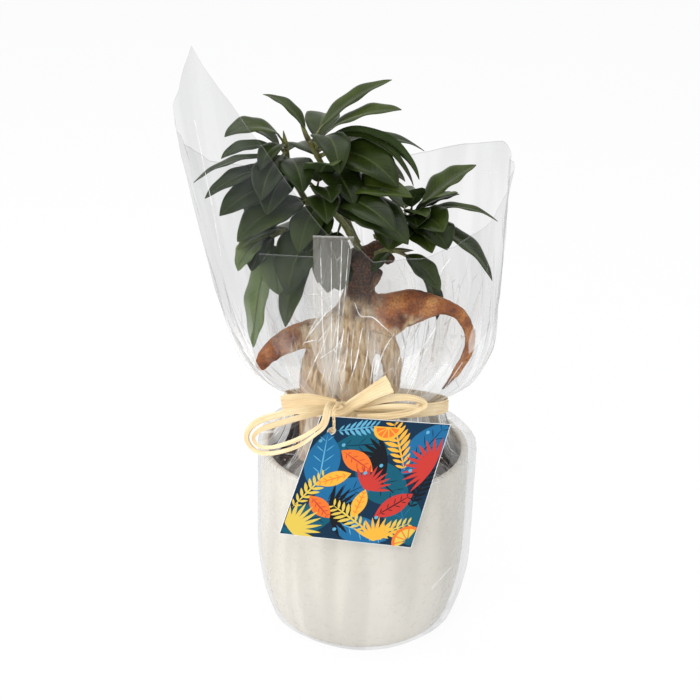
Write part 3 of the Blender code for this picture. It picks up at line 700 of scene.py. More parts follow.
def lid(shape, row, order=1):
    """Closes the end of a woven tube."""
    return shape.faces.new([vertex for vertex, _ in row[:-1]][::order])


def grow_leaf(shape, wobble, tone, shoot, share, azimuth, rise, length, width, droop, roll):
    """Adds one leaf to a mesh: a blade with a top and an underside, and its stalk."""
    start, along, radius = shoot_point(shoot, share)
    azimuth, rise, droop, roll = (math.radians(value) for value in (azimuth, rise, droop, roll))
    heading = round_spot(1.0, azimuth)
    level = Vector((-math.sin(azimuth), math.cos(azimuth), 0))
    up = Vector((0, 0, 1))
    first = heading * math.cos(rise) + up * math.sin(rise)
    outward = (first - along * first.dot(along)).normalized() if share < 1 else first
    slant = math.sqrt(max(0.0, 1 - first.dot(outward) ** 2))
    base = start + outward * (radius + (0.1 + 0.6 * slant) * MM)

    def midrib(s):
        turn = rise - droop * s
        out = (math.sin(rise) - math.sin(turn)) / droop
        lift = (math.cos(turn) - math.cos(rise)) / droop
        normal = up * math.cos(turn) - heading * math.sin(turn)
        side = level * math.cos(roll) + normal * math.sin(roll)
        point = base + (heading * out + up * lift) * length * MM
        return point, side, normal * math.cos(roll) - level * math.sin(roll)

    layer = shape.loops.layers.uv.new("blade")
    tones = shape.verts.layers.float.new("tone")
    phase, swing = wobble.uniform(0, math.tau), wobble.uniform(-0.12, 0.12)
    half_width = width * MM / 2
    rows = []
    for i in range(BLADE_STATIONS + 1):
        t = i / BLADE_STATIONS
        point, side, normal = midrib(STALK_SHARE + (1 - STALK_SHARE) * t)
        half = max(0.25 * MM, half_width * blade_shape(t))
        point = point + side * half_width * swing * math.sin(math.pi * t)
        top, under = [], []
        for k in range(BLADE_ACROSS + 1):
            u = 2 * k / BLADE_ACROSS - 1
            lift = half * (math.sin(BLADE_FOLD) * abs(u) - 0.16 * u**4)
            ripple = 0.055 * half_width * math.sin(5.5 * math.pi * t + phase + (1.3 if u > 0 else 0)) * u * u
            lift += ripple * math.sin(math.pi * t)
            spot = point + side * half * u * math.cos(BLADE_FOLD) + normal * lift
            thin = normal * BLADE_THICKNESS * (1 - 0.6 * abs(u)) / 2
            top.append((shape.verts.new(spot + thin), (k / BLADE_ACROSS, t)))
            under.append((shape.verts.new(spot - thin), (k / BLADE_ACROSS, t)))
        rows.append(top + under[::-1] + top[:1])
    for vertex in shape.verts:
        vertex[tones] = tone
    weave(shape, layer, rows[::-1], range(BLADE_ACROSS + 1, 2 * BLADE_ACROSS + 1))
    for row, order, t in ((rows[0], 1, 0.0), (rows[-1], -1, 1.0)):
        for loop in lid(shape, row, order).loops:
            loop[layer].uv = (0.5, t)

    stalk = []
    for i in range(STALK_STATIONS + 1):
        point, side, normal = midrib((STALK_SHARE + 0.05) * i / STALK_STATIONS)
        thick = (0.85 - 0.4 * i / STALK_STATIONS) * MM
        stalk.append([
            shape.verts.new(point + (side * math.cos(a) + normal * math.sin(a)) * thick)
            for a in turns(STALK_SIDES)
        ])
    ends = [shape.faces.new(ring) for ring in (stalk[0][::-1], stalk[-1])]
    for face in bridge(shape, stalk) + ends:
        face.material_index = STALK_FINISH


leaf_finishes = (
    leaf_finish(
        "leaf_top", (0.03, 0.06, 0.02), 0.3, upper_green, (0.024, 0.034, 0.009), (0.055, 0.072, 0.020),
        0.5, 0.35 * MM,
    ),
    leaf_finish(
        "leaf_under", (0.09, 0.14, 0.06), 0.6, lower_green, (0.060, 0.085, 0.034), (0.14, 0.17, 0.07),
        0.3, 0.3 * MM,
    ),
    stem,
)
wobble = random.Random(11)
rows = [(shoot, *row) for shoot, rows in LEAVES.items() for row in rows]
for number, row in enumerate(rows, 1):
    leaf_shape = bmesh.new()
    tone = wobble.uniform(0.02, 0.18) + (0.2 if row[1] > 0.93 else 0.0)
    tone += FRESHER_SHOOTS.get(row[0], 0.0) + (0.4 if number == HANGING_LEAF else 0.0)
    grow_leaf(leaf_shape, wobble, tone, *row)
    show(f"leaf_{number:02d}_blade", leaf_shape, leaf_finishes, "leaf", f"leaf_{number:02d}", smooth=180)
for number, row in enumerate(INNER_LEAVES, 1):
    leaf_shape = bmesh.new()
    grow_leaf(leaf_shape, wobble, wobble.uniform(0.0, 0.06), *row)
    show(f"inner_leaf_{number:02d}", leaf_shape, leaf_finishes, "leaf", smooth=180)


# ---------------------------------------------------------------- film wrap
# One sheet of clear film, folded flat under the pot and drawn up round it. It is gathered into a neck over
# the rim, where it creases sharply. Its cut edge stands up round the plant, with a tall corner at the left.

NECK_X, NECK_Y, NECK_SHIFT_Y = 45.5 * MM, 38.0 * MM, -1.0 * MM
NECK_Z, NECK_TILT, NECK_HALF = 137.5 * MM, 13.5 * MM, 4.5 * MM
SMALL_PLEATS, LARGE_PLEATS = 46, 21
FILM_ROUND = 300
CLIMB_ROWS = 64
SHEET_ROUND = 0.46
TALL_CORNER, TALL_CORNER_SPREAD = 212.0, 45.0
TALL_CORNER_LEAN = 30.0 * MM
CREASED_UP_TO = 150 * MM
NECK_STARTS = 100 * MM, 126 * MM
HANDLED_FROM, HANDLED_FULLY = 250 * MM, 295 * MM
# Width of the painted sheen along the film's cut edge
EDGE_SHEEN_WIDTH = 0.8 * MM

# Height of the free edge by azimuth
FILM_EDGE = (
    (0, 284), (15, 289), (45, 277), (62, 268), (90, 254), (120, 256), (150, 268), (170, 286), (184, 301),
    (202, 320), (216, 345), (232, 325), (244, 303), (262, 261), (272, 256), (277, 247), (300, 248),
    (330, 260), (360, 284),
)


def neck_height(angle):
    return NECK_Z - NECK_TILT * math.sin(angle)


def neck_point(angle, out, lift):
    """A point round the neck, so far out from it and above its middle, in millimetres."""
    return Vector((
        (NECK_X + out * MM) * math.cos(angle), NECK_SHIFT_Y + (NECK_Y + out * MM) * math.sin(angle),
        neck_height(angle) + lift * MM,
    ))


def corner_share(angle):
    """1 at the azimuth of the tall corner, falling to 0 on both sides."""
    return max(0.0, 1 - abs(math.degrees(angle) - TALL_CORNER) / TALL_CORNER_SPREAD)


def flare(angle, climb):
    """Film above the tie: it swells out of the neck, rises nearly straight and leans in at its corner."""
    swell = 1 - math.exp(-climb / (14 * MM))
    left = NECK_X + 25 * MM * swell + 0.24 * climb
    right = NECK_X + 26 * MM * swell + 0.02 * climb
    front = NECK_Y + 14 * MM * swell + 0.06 * climb
    back = NECK_Y + 16 * MM * swell + 0.10 * climb
    x = (right - left) / 2 + (right + left) / 2 * math.cos(angle)
    y = NECK_SHIFT_Y + (back - front) / 2 + (back + front) / 2 * math.sin(angle)
    lean = TALL_CORNER_LEAN * corner_share(angle) * max(0.0, climb / (100 * MM) - 1) ** 1.5
    return x + 0.13 * lean, y + lean


def zigzag(value):
    """Straight-sided wave from -1 to 1."""
    return 4 * abs(value - math.floor(value + 0.5)) - 1


def crumple(angle, height):
    """Sharp straight folds across the sheet: flat facets that meet in creases, in millimetres."""
    along, up = angle * 11.0, height * 100
    drift = noise.noise(Vector((along * 0.35, up * 0.25, 3.0))) * 1.4
    folds = 0.0
    for k, (across, upward, size) in enumerate((
        (0.30, 0.07, 1.0), (0.46, -0.16, 0.7), (-0.24, 0.22, 0.6), (0.85, 0.12, 0.30), (-0.70, 0.30, 0.22),
    )):
        strength = 0.4 + noise.noise(Vector((along * 0.3, up * 0.2, 10.0 + k)))
        folds += size * max(0.0, strength) * zigzag(across * along + upward * up + 0.37 * k + drift * 0.2)
    return folds


def wall_point(angle, height):
    """A point of the sheet against the pot."""
    wave = 0.6 * (1 + math.cos(5 * angle + 1)) + 2.4 * max(0.0, math.cos(angle)) ** 2
    folds = (0.35 * abs(crumple(angle, height)) + 0.25) * float(step(height, 0.004, 0.02))
    return round_spot(pot_radius(height) + (0.9 + 0.9 * wave + folds) * MM, angle, height)


def free_point(angle, height, climb):
    """A point of the sheet above the tie, by its height and its climb from there."""
    gather = math.exp(-((height - neck_height(angle)) / (26 * MM)) ** 2)
    pleats = zigzag(angle * SMALL_PLEATS / math.tau + 0.9 * noise.noise(Vector((angle * 2.2, 0, 5)))) * 0.55
    pleats += zigzag(angle * LARGE_PLEATS / math.tau + 0.3) * 0.6
    open_up = min(1.0, climb / (30 * MM))
    shift = crumple(angle, height) * (0.55 + open_up) + pleats * (0.35 + 2.6 * gather * open_up)
    shift *= 1 - 0.85 * min(1.0, 1.6 * corner_share(angle)) * float(step(climb, 0.06, 0.13))
    outward = round_spot(1.0, angle)
    return Vector((*flare(angle, climb), height)) + outward * shift * MM * min(1.0, 0.12 + climb / (12 * MM))


# Rows of points from the middle of the base to the free edge, with their distance from that edge
FAR = 1.0
angles = turns(FILM_ROUND)
rows = []
for radius in (4, 12, 22, 34, 44):
    lifts = [0.14 + 0.075 * abs(noise.noise(round_spot(radius * 0.09, a, 1))) for a in angles]
    rows.append([(round_spot(radius * MM, a, lift * MM), FAR) for a, lift in zip(angles, lifts)])
for height in (
    0.25, 1.2, 3, 6, 10, 15, 20, 26, 32, 38, 44, 50, 56, 62, 68, 74, 80, 85, 90, 95, 99, 103, 107, 110, 113,
):
    shrink = 0.905 if height < 1 else 0.975 if height < 2 else 1.0
    drawn_in = Vector((shrink, shrink, 1.0))
    rows.append([(wall_point(a, height * MM) * drawn_in, FAR) for a in angles])
for widen, drop, tilt in (
    (7.5, 21.5, 0.5), (5.5, 18.5, 0.5), (3.5, 15.0, 0.45), (2.0, 11.0, 0.4), (0.8, 7.0, 0.2),
    (0.0, 4.5, 0.0), (0.0, 0.0, 0.0), (0.0, -4.5, 0.0),
):
    pleats = [zigzag(a * SMALL_PLEATS / math.tau) * (0.35 + 0.09 * widen) for a in angles]
    rows.append([
        (neck_point(a, widen + pleat, -drop * (1 - tilt * math.sin(a))), FAR)
        for a, pleat in zip(angles, pleats)
    ])
for k in range(1, CLIMB_ROWS + 1):
    row = []
    for a in angles:
        foot = neck_height(a) + NECK_HALF
        top = float(np.interp(math.degrees(a), *zip(*FILM_EDGE))) * MM - foot
        climb = top * (k / CLIMB_ROWS) ** 1.15
        row.append((free_point(a, foot + climb, climb), top - climb))
    rows.append(row)

# The sheet's own coordinates run round it and up its back, in metres
film_shape = bmesh.new()
back = FILM_ROUND // 4
layer = film_shape.loops.layers.uv.new("sheet")
edges = film_shape.verts.layers.float.new("to_edge")
grid = []
travelled = 0.0
for row in rows:
    made = []
    for point, to_edge in row:
        made.append(film_shape.verts.new(point))
        made[-1][edges] = to_edge
    if grid:
        travelled += (made[back].co - grid[-1][back][0].co).length
    grid.append([(v, (i / FILM_ROUND * SHEET_ROUND, travelled)) for i, v in enumerate(made + made[:1])])
weave(film_shape, layer, grid)
lid(film_shape, grid[0], -1)

# Fine creases: thin lines that run mostly up the sheet, and random facets, from its own coordinates in
# metres. The film finish paints the lines white as glints and the facets whiter as glare.
CREASES, taken, given = new_group(
    "film_crease_glints", "NodeSocketVector", ("Sheet",), ("Lines", "Facets", "Relief"),
)


def turned_sheet(angle, stretch):
    turned = add(CREASES, "VectorRotate", rotation_type="Z_AXIS", Vector=taken["Sheet"], Angle=angle)[0]
    return add(CREASES, "Mapping", Vector=turned, Scale=(1.0, stretch, 1.0))[0]


total = None
for angle, stretch, scale, width, kept in (
    (0.04, 0.10, 190.0, 0.034, 0.52), (-0.20, 0.16, 120.0, 0.018, 0.53), (0.34, 0.22, 75.0, 0.011, 0.55),
    (-0.62, 0.35, 60.0, 0.009, 0.58),
):
    place = turned_sheet(angle, stretch)
    gap = add(CREASES, "TexVoronoi", feature="DISTANCE_TO_EDGE", Vector=place, Scale=scale)["Distance"]
    patches = add(CREASES, "TexNoise", Vector=place, Scale=scale * 0.8, Detail=1.0)[0]
    line = spread(CREASES, gap, 0.0, width, 1.0, 0.0)
    part = maths(CREASES, "MULTIPLY", line, spread(CREASES, patches, kept, kept + 0.08))
    total = maths(CREASES, "MAXIMUM", total, part) if total else part
cells = add(CREASES, "TexVoronoi", Vector=turned_sheet(0.1, 0.2), Scale=95.0)["Color"]
facets = maths(CREASES, "POWER", add(CREASES, "SeparateColor", Color=cells)["Red"], 1.8)
dress(CREASES, given, Lines=total, Facets=facets, Relief=total)


def film_finish(name, body, lines, milky_glare, reach, tint=(0.085, 0.09, 0.095)):
    """Clear film: nearly invisible face on. Painted sheen makes it whiter edge on and along its cut edge,
    painted glints whiten its creases, and painted glare, with some milkiness, whitens random facets towards
    the gathered neck. It is a little duller high up, where it was handled."""
    made, tree, shader = new_finish(name, (0.3, 0.31, 0.33), 0.30)
    sheet = add(tree, "UVMap", uv_map="sheet")[0]
    fine = add(tree, "Group", node_tree=CREASES, Sheet=sheet)
    # Painted sheen along the cut edge: the film grows more opaque and whiter within this width of it
    rim = spread(tree, add(tree, "Attribute", attribute_name="to_edge")["Fac"], 0.0, EDGE_SHEEN_WIDTH, 0.35, 0.0)
    high = add(tree, "SeparateXYZ", Vector=add(tree, "TexCoord")["Object"])["Z"]
    above = spread(tree, high, CREASED_UP_TO, CREASED_UP_TO + reach, 1.0, 0.02, "SMOOTHSTEP")
    below = spread(tree, high, *NECK_STARTS, 0.04, 1.0, "SMOOTHSTEP")
    handled = spread(tree, high, HANDLED_FROM, HANDLED_FULLY, 0.0, 0.055, "SMOOTHSTEP")
    # Painted glints and glare: crease lines and random facets show only round the gathered neck and fade out
    # above it
    gathered = maths(tree, "MULTIPLY", above, below)
    folds = maths(tree, "MULTIPLY", fine["Lines"], gathered)
    haze_and_glare = maths(tree, "MULTIPLY", fine["Facets"], gathered)
    # Painted sheen: where the film is seen edge on it is more opaque and whiter, in place of its reflection
    # at grazing angles
    grazing_sheen = maths(tree, "POWER", add(tree, "LayerWeight", Blend=0.35)["Facing"], 3.0)
    bands = add(
        tree, "TexNoise", Vector=add(tree, "Mapping", Vector=sheet, Scale=(1.0, 0.12, 1.0))[0], Scale=55.0,
        Detail=1.0,
    )[0]
    veil = maths(tree, "ADD", body, spread(tree, bands, 0.42, 0.58, -0.02, 0.045, "SMOOTHSTEP"))
    veil = maths(tree, "ADD", veil, maths(tree, "MULTIPLY", grazing_sheen, 0.12))
    veil = maths(tree, "ADD", veil, handled)
    for part, share in ((haze_and_glare, milky_glare), (folds, lines)):
        veil = maths(tree, "ADD", veil, maths(tree, "MULTIPLY", part, share))
    # Painted highlight: this mask turns the grey tint near white in the creases, glare facets, edge-on sheen
    # and cut edge
    white = maths(tree, "MAXIMUM", folds, maths(tree, "MULTIPLY", haze_and_glare, milky_glare * 5))
    outer = maths(tree, "MAXIMUM", maths(tree, "MULTIPLY", grazing_sheen, 0.4), rim)
    white = maths(tree, "MAXIMUM", white, outer, True)
    dress(
        tree, shader, Specular_IOR_Level=0.4, Alpha=maths(tree, "ADD", veil, rim, True),
        Base_Color=mix(tree, white, tint, (0.96, 0.95, 0.93)),
    )
    bump(tree, shader, fine["Relief"], 0.15, 0.2 * MM)
    return made


clear_film = film_finish("clear_film", 0.105, 0.85, 0.45, 0.085)
film = show("film_sheet", film_shape, clear_film, "clear_film", "film_wrap", smooth=22)


def film_fold(name, finish, rows, waviness, seed):
    """A doubled strip of film through rows of three points from its foot up, in millimetres."""
    fold_shape = bmesh.new()
    layer = fold_shape.loops.layers.uv.new("sheet")
    edges = fold_shape.verts.layers.float.new("to_edge")
    grid = []
    columns = [smooth_path(column, 10) for column in zip(*rows)]
    for k, row in enumerate(zip(*columns)):
        share = k / (len(columns[0]) - 1)
        line = []
        for i, spot in enumerate(smooth_path(row, 8)):
            sway = noise.noise(Vector((i * 0.35, share * 3.0, seed))) + 0.4 * zigzag(i * 0.25)
            point = (Vector(spot) - Vector((0, abs(waviness * sway) + 0.1, 0))) * MM
            vertex = fold_shape.verts.new(point)
            vertex[edges] = (1 - share) * (rows[-1][1][2] - rows[0][1][2]) * MM
            line.append((vertex, (point.x + seed, point.z)))
        grid.append(line)
    weave(fold_shape, layer, grid)
    return show(name, fold_shape, finish, "clear_film", smooth=30)


# Two folds of the same sheet lie over its front: a flat upright pleat and the end of the overlap
pleated_film = film_finish("pleated_film", 0.30, 0.6, 0.15, 0.16, (0.36, 0.34, 0.30))
double_film = film_finish("double_film", 0.10, 0.4, 0.20, 0.10)
pleat = film_fold("film_pleat", pleated_film, (
    ((-20.8, -41.6, 160), (-17.6, -43.2, 161), (-14.3, -44.0, 161.5)),
    ((-22.8, -46.2, 169), (-19.2, -47.2, 170), (-15.7, -47.8, 170)),
    ((-24.6, -50.0, 180), (-20.1, -50.6, 180), (-16.1, -53.2, 182)),
    ((-26.2, -53.2, 194), (-21.1, -54.2, 194), (-15.3, -56.0, 195.6)),
    ((-27.9, -54.4, 207), (-21.0, -55.8, 208), (-13.9, -57.2, 208.8)),
    ((-29.5, -56.0, 232), (-20.7, -57.4, 232.6), (-12.0, -58.8, 233.5)),
    ((-30.5, -58.0, 260.5), (-20.0, -58.8, 260.8), (-9.5, -59.2, 261)),
), 0.9, 1.0)
overlap = film_fold("film_overlap", double_film, (
    ((-47.1, -41.9, 178.5), (-36.6, -47.3, 181.3), (-25.7, -51.4, 183.5)),
    ((-53.7, -44.0, 200), (-41.3, -49.6, 203), (-28.9, -54.2, 205)),
    ((-57.0, -45.2, 223.4), (-43.1, -53.6, 227.5), (-30.0, -56.0, 228.6)),
    ((-58.6, -48.2, 246), (-44.0, -54.6, 248), (-30.0, -58.2, 249)),
), 0.5, 2.0)

# Sharp creases where the film is drawn in, drawn as thin raised ribbons in a near-white finish that paints
# their glints: the width, then points in millimetres
CREASE_GLINTS = (
    (1.1, (-33, -53.8, 226), (-26.1, -55.5, 226.5), (-21.3, -56.1, 224), (-20, -56.3, 221)),
    (1.3, (-20, -56.4, 222), (-26, -55.5, 212), (-32.4, -52, 201)),
    (0.8, (-23, -55.2, 220), (-28.8, -53.4, 210), (-35.1, -51.5, 195)),
    (0.9, (-8.3, -57.5, 223.7), (-5, -56.8, 216), (1.4, -56.4, 215), (7.3, -56.8, 210), (11.7, -54.3, 205)),
    (1.1, (13, -53.9, 204.7), (8.4, -54.7, 196.3), (5.5, -53.3, 186), (4.1, -49.2, 171.7)),
    (1.8, (36.9, -46.9, 209), (29.7, -50.9, 198), (25.2, -51, 190), (21.3, -49.2, 181.4),
     (17.8, -46.6, 170)),
    (1.1, (31.6, -49.2, 195.4), (25.1, -50.4, 184.8), (20.8, -47.2, 174)),
    (1.0, (40.8, -46.8, 245.3), (36, -47.7, 238)),
    (1.4, (-13.4, -57.6, 209), (-14.5, -57, 200), (-15.6, -56.4, 190.6), (-17.5, -49.3, 175.3),
     (-19, -43, 160)),
    (0.9, (-11.1, -56.4, 206), (-11.9, -55.2, 190), (-14.4, -51.8, 175)),
    (1.1, (-3.7, -56.2, 209), (-5, -55.1, 200), (-6.2, -53.8, 190), (-8.6, -53, 179),
     (-11.6, -47.1, 165.5)),
    (0.8, (-0.2, -56, 206.6), (-1, -54.5, 190.6), (-2.5, -52.3, 181.3), (-3.7, -49.1, 171.4)),
    (1.0, (-25.4, -52.4, 194.4), (-29.2, -50.8, 184.4), (-34.8, -39.6, 164.2)),
    (0.7, (-19.7, -56.2, 205), (-22.1, -52.6, 190), (-23.6, -50.3, 179), (-25.2, -45.4, 167)),
    (0.9, (-35.1, -51.8, 197), (-29.5, -53.2, 199.3), (-24.2, -53.8, 200.3)),
    (1.2, (46.5, -39.1, 183.2), (39.5, -39.9, 171), (31.8, -35.4, 158)),
    (0.8, (51.2, -35.2, 180.3), (44.7, -37, 169.6), (39, -30.1, 155.5)),
    (0.9, (-8, -55.9, 209), (-9.2, -54.5, 192), (-8.8, -53.5, 182.6)),
    (0.8, (3, -56.5, 206.8), (2.9, -54.2, 192.4), (1.6, -51.3, 176.4), (0.7, -45.2, 162)),
    (1.0, (-44.4, -42.4, 180), (-40.7, -39.3, 167.3), (-36.5, -26.8, 151.6)),
    (0.9, (-26.5, -59, 256), (-25.5, -57.6, 232), (-24.5, -56.2, 208), (-23, -54.4, 190)),
    (0.7, (-21, -59.6, 258), (-20.4, -58.4, 232), (-20, -57, 208), (-19.5, -54.8, 192)),
    (1.0, (-15.5, -60, 259), (-15.8, -59.2, 233), (-16.5, -57.6, 208), (-17, -56.4, 194),
     (-17.5, -50.4, 178)),
    (0.6, (-12, -60, 255), (-13, -59.2, 235), (-14.5, -58, 212)),
    (0.7, (22.6, -51.9, 208), (19.7, -51.3, 199.7), (16.9, -52, 192), (13.5, -51.3, 176.7)),
    (0.6, (-93.6, -18.5, 307.6), (-89.8, -25.9, 292.7), (-86.4, -28.4, 276), (-83.7, -30.7, 264),
     (-79.7, -30.4, 237)),
    (0.7, (56.9, 39.1, 265), (69.2, 20.5, 270.6)),
    (1.0, (40.4, -47.9, 42.3), (45.5, -43.9, 46.7), (51.4, -37.8, 50.5)),
)
# Painted glint: a near-white finish, most opaque along each ribbon's middle, so the creases show as white
# streaks under any light
crease_glint, tree, shader = new_finish("crease_glint_film", (0.96, 0.95, 0.93), 0.3)
across = add(tree, "SeparateXYZ", Vector=add(tree, "UVMap", uv_map="crease")[0])["X"]
glint = spread(tree, maths(tree, "POWER", across, 2.0), 0.0, 1.0, 0.85, 0.0)
broken = add(tree, "TexNoise", Vector=add(tree, "TexCoord")["Object"], Scale=160.0, Detail=2.0)[0]
dress(tree, shader, Alpha=maths(tree, "MULTIPLY", glint, spread(tree, broken, 0.36, 0.60, 0.25, 1.0)))

crease_shape = bmesh.new()
layer = crease_shape.loops.layers.uv.new("crease")
for width, *knots in CREASE_GLINTS:
    run = [Vector(point) * MM for point in smooth_path(knots, 8)]
    rows = []
    for i, (point, tangent, _) in enumerate(path_frames(run)):
        outward = Vector((point.x, point.y, 0)).normalized()
        side = tangent.cross(outward).normalized()
        half = width / 2 * MM * math.sin(math.pi * (0.06 + 0.88 * i / (len(run) - 1))) ** 0.6
        rows.append([
            (crease_shape.verts.new(point + side * half * u + outward * (0.35 - 0.3 * abs(u)) * MM), (u, 0.0))
            for u in (-1.0, 0.0, 1.0)
        ])
    weave(crease_shape, layer, rows)
creases = show("film_crease_glints", crease_shape, crease_glint, "clear_film", smooth=60)


# ---------------------------------------------------------------- raffia
# Flat strands of pale palm fibre, several together. They go round the neck of the film, are knotted at the
# front and end in a bow: a loop and a tail on each side.

BAND_STRANDS = 5
BAND_STEPS = 120
BOW_STRANDS = 4
KNOT_STEPS = 48
BOW_FACE = Vector((0.0, -0.94, 0.35))
KNOT_CENTRE = Vector((-13.4, -48.0, 156.4)) * MM
ACROSS_STRAND = (-1.0, -0.6, -0.2, 0.2, 0.6, 1.0)
STRAND_THICKNESS = 0.22 * MM

RAFFIA, tree, shader = new_finish("raffia_fibre", (0.8, 0.62, 0.38), 0.62)
along = add(tree, "Mapping", Vector=add(tree, "UVMap", uv_map="strand")[0], Scale=(1.0, 0.03, 1.0))[0]
fibres = add(tree, "TexNoise", Vector=along, Scale=1500.0, Detail=4.0, Roughness=0.65)[0]
clouds, _ = mottle(tree, 60.0, 1300.0)
colour = ramp(
    tree, fibres, (0.28, (0.60, 0.42, 0.21)), (0.43, (0.86, 0.66, 0.38)), (0.58, (0.95, 0.78, 0.50)),
    (0.8, (0.98, 0.87, 0.66)),
)
warm = ramp(tree, clouds, (0.3, (0.86, 0.78, 0.66)), (0.65, 1.0))
dress(tree, shader, Base_Color=mix(tree, 0.7, colour, warm, "MULTIPLY"))
bump(tree, shader, fibres, 0.7, 0.25 * MM)


def strand(shape, rows):
    """One flat fibre strip through rows of (point, width, side, curl), slightly curled across its width."""
    layer = shape.loops.layers.uv.get("strand") or shape.loops.layers.uv.new("strand")
    grid, travelled, previous = [], 0.0, rows[0][0]
    for i, (point, tangent, _) in enumerate(path_frames([row[0] for row in rows])):
        _, width, side, curl = rows[i]
        travelled += (point - previous).length
        previous = point
        side = (side - tangent * side.dot(tangent)).normalized()
        up = tangent.cross(side)
        lifts = [curl * (u * u - 0.4) + 0.06 * math.sin(9 * u + i * 0.07) for u in ACROSS_STRAND]
        ring = [point + side * width * u / 2 + up * lift * MM for u, lift in zip(ACROSS_STRAND, lifts)]
        ring += [corner - up * STRAND_THICKNESS for corner in ring[::-1]]
        places = [(u * width / 2, travelled) for u in ACROSS_STRAND + ACROSS_STRAND[::-1]]
        made = [(shape.verts.new(corner), place) for corner, place in zip(ring, places)]
        grid.append(made + made[:1])
    weave(shape, layer, grid)
    lid(shape, grid[0], -1)
    lid(shape, grid[-1])


def show_strands(name, shape, stands_for):
    bmesh.ops.recalc_face_normals(shape, faces=shape.faces)
    show(name, shape, RAFFIA, "raffia", stands_for, smooth=60)


def raffia_run(name, stands_for, seed, knots):
    """Several strands side by side through knots of (x, y, z, width) in millimetres."""
    luck = random.Random(seed)
    shape = bmesh.new()
    run = smooth_path(knots, 10)
    centre = path_frames([Vector(p[:3]) * MM for p in run])
    for k in range(BOW_STRANDS):
        offset = (k + 0.5) / BOW_STRANDS - 0.5
        drift, twist, start = luck.uniform(-0.16, 0.16), luck.uniform(-0.35, 0.35), luck.uniform(0, 6)
        bend, depth = luck.uniform(0.1, 0.6), luck.uniform(-0.55, 0.55)
        rows = []
        for i, (point, tangent, _) in enumerate(centre):
            t = i / (len(run) - 1)
            side = tangent.cross(BOW_FACE).normalized()
            up = tangent.cross(side)
            width = run[i][3] * MM
            out = width * (offset + drift * math.sin(3.1 * t + start) * (1 - 0.25 * math.cos(math.tau * t)))
            angle = twist * math.sin(2.3 * t + start)
            rows.append((
                point + side * out + up * depth * MM * (0.4 + 0.6 * math.sin(2.7 * t + start)),
                width * (1.7 / BOW_STRANDS) * (0.78 + 0.22 * math.sin(5 * t + start)),
                side * math.cos(angle) + up * math.sin(angle), bend * (0.6 + 0.4 * math.sin(4 * t + start)),
            ))
        strand(shape, rows)
    show_strands(name, shape, stands_for)


luck = random.Random(3)
band_shape = bmesh.new()
for k in range(BAND_STRANDS):
    level, start = -3.0 + 6.0 * k / (BAND_STRANDS - 1), luck.uniform(0, 6)
    rows = []
    for i in range(BAND_STEPS + 1):
        a = math.tau * i / BAND_STEPS
        out = 1.55 + 0.35 * math.sin(2 * a + start) + 0.15 * (k % 2)
        point = neck_point(a, out, level + 0.6 * math.sin(a + start))
        rows.append((point, (2.5 + 0.5 * math.sin(3 * a + start)) * MM, Vector((0, 0, 1)), 0.15))
    strand(band_shape, rows)
show_strands("raffia_tie", band_shape, "raffia_band")

raffia_run("raffia_bow_left", "raffia_loop_left", 21, (
    (-20.8, -49.5, 157, 5), (-33, -60, 159.5, 7), (-47.5, -64, 157, 8.5), (-58, -64, 152.5, 8.5),
    (-62.5, -62, 145, 7), (-58.5, -64, 139.5, 6), (-50, -72, 143, 6), (-37.5, -79, 151, 6),
    (-28, -82, 159, 4.5), (-22.5, -79.5, 163.5, 4), (-20.5, -70, 168, 3.5), (-19, -58, 164, 3.5),
    (-18, -51.5, 158, 3.5),
))
raffia_run("raffia_bow_right", "raffia_loop_right", 22, (
    (-4.3, -48.5, 158, 4), (9.5, -52, 164, 7), (23, -51, 164.5, 7), (31, -48, 160, 6), (23, -53, 157.5, 4),
    (9.5, -56, 156.5, 4), (-5, -53, 154.5, 3),
))
raffia_run("raffia_end_left", "raffia_tail_left", 23, (
    (-17, -47.5, 159.5, 4.5), (-30, -50.4, 162.3, 6.5), (-39, -52.8, 162.2, 8), (-46, -53.7, 161, 9),
))
raffia_run("raffia_end_right", "raffia_tail_right", 24, (
    (-21, -51.5, 156, 3.5), (-14, -54.2, 158, 5), (-7.5, -55.5, 163.5, 6.5), (0, -56.5, 169, 8),
    (6, -58, 173.5, 9), (12, -59.5, 177.5, 10),
))

# The knot: strands wound over a small core
knot_shape = bmesh.new()
for k, (tilt, lean) in enumerate(((0.25, 0.1), (-0.35, -0.2), (0.05, 0.35), (-0.1, -0.4), (0.5, 0.0))):
    turn = Matrix.Rotation(tilt, 3, "Y") @ Matrix.Rotation(lean, 3, "Z")
    rows = []
    for i in range(KNOT_STEPS + 1):
        a = math.tau * i / KNOT_STEPS
        spot = turn @ Vector((0.9 * math.sin(a + k) + (k - 2) * 1.9, 3.9 * math.cos(a), 4.0 * math.sin(a)))
        rows.append((KNOT_CENTRE + spot * MM * (0.92 + 0.03 * k), 3.6 * MM, turn @ Vector((1, 0, 0)), 0.3))
    strand(knot_shape, rows)
show_strands("raffia_tied_knot", knot_shape, "raffia_knot")


# ---------------------------------------------------------------- card tag
# A square card printed in colour on one side, with one hole in its top left corner. A thin raffia string runs
# from the knot over its top edge and through the hole.

TAG_SIDE = 77.5 * MM
TAG_THICKNESS = 0.8 * MM
TAG_FRONT = TAG_THICKNESS / 2
TAG_STEPS = 24
TAG_TOP = Vector((-24.5, -72.0, 164.5)) * MM, Vector((45.6, -53.4, 151.5)) * MM
TAG_BOTTOM = Vector((-45.6, -79.6, 96.0)) * MM, Vector((27.0, -58.8, 76.0)) * MM
TAG_HOLE_RADIUS = 2.2 * MM
HOLE_INSET = 9.0 * MM / TAG_SIDE
HOLE_U, HOLE_V = HOLE_INSET, 1 - HOLE_INSET


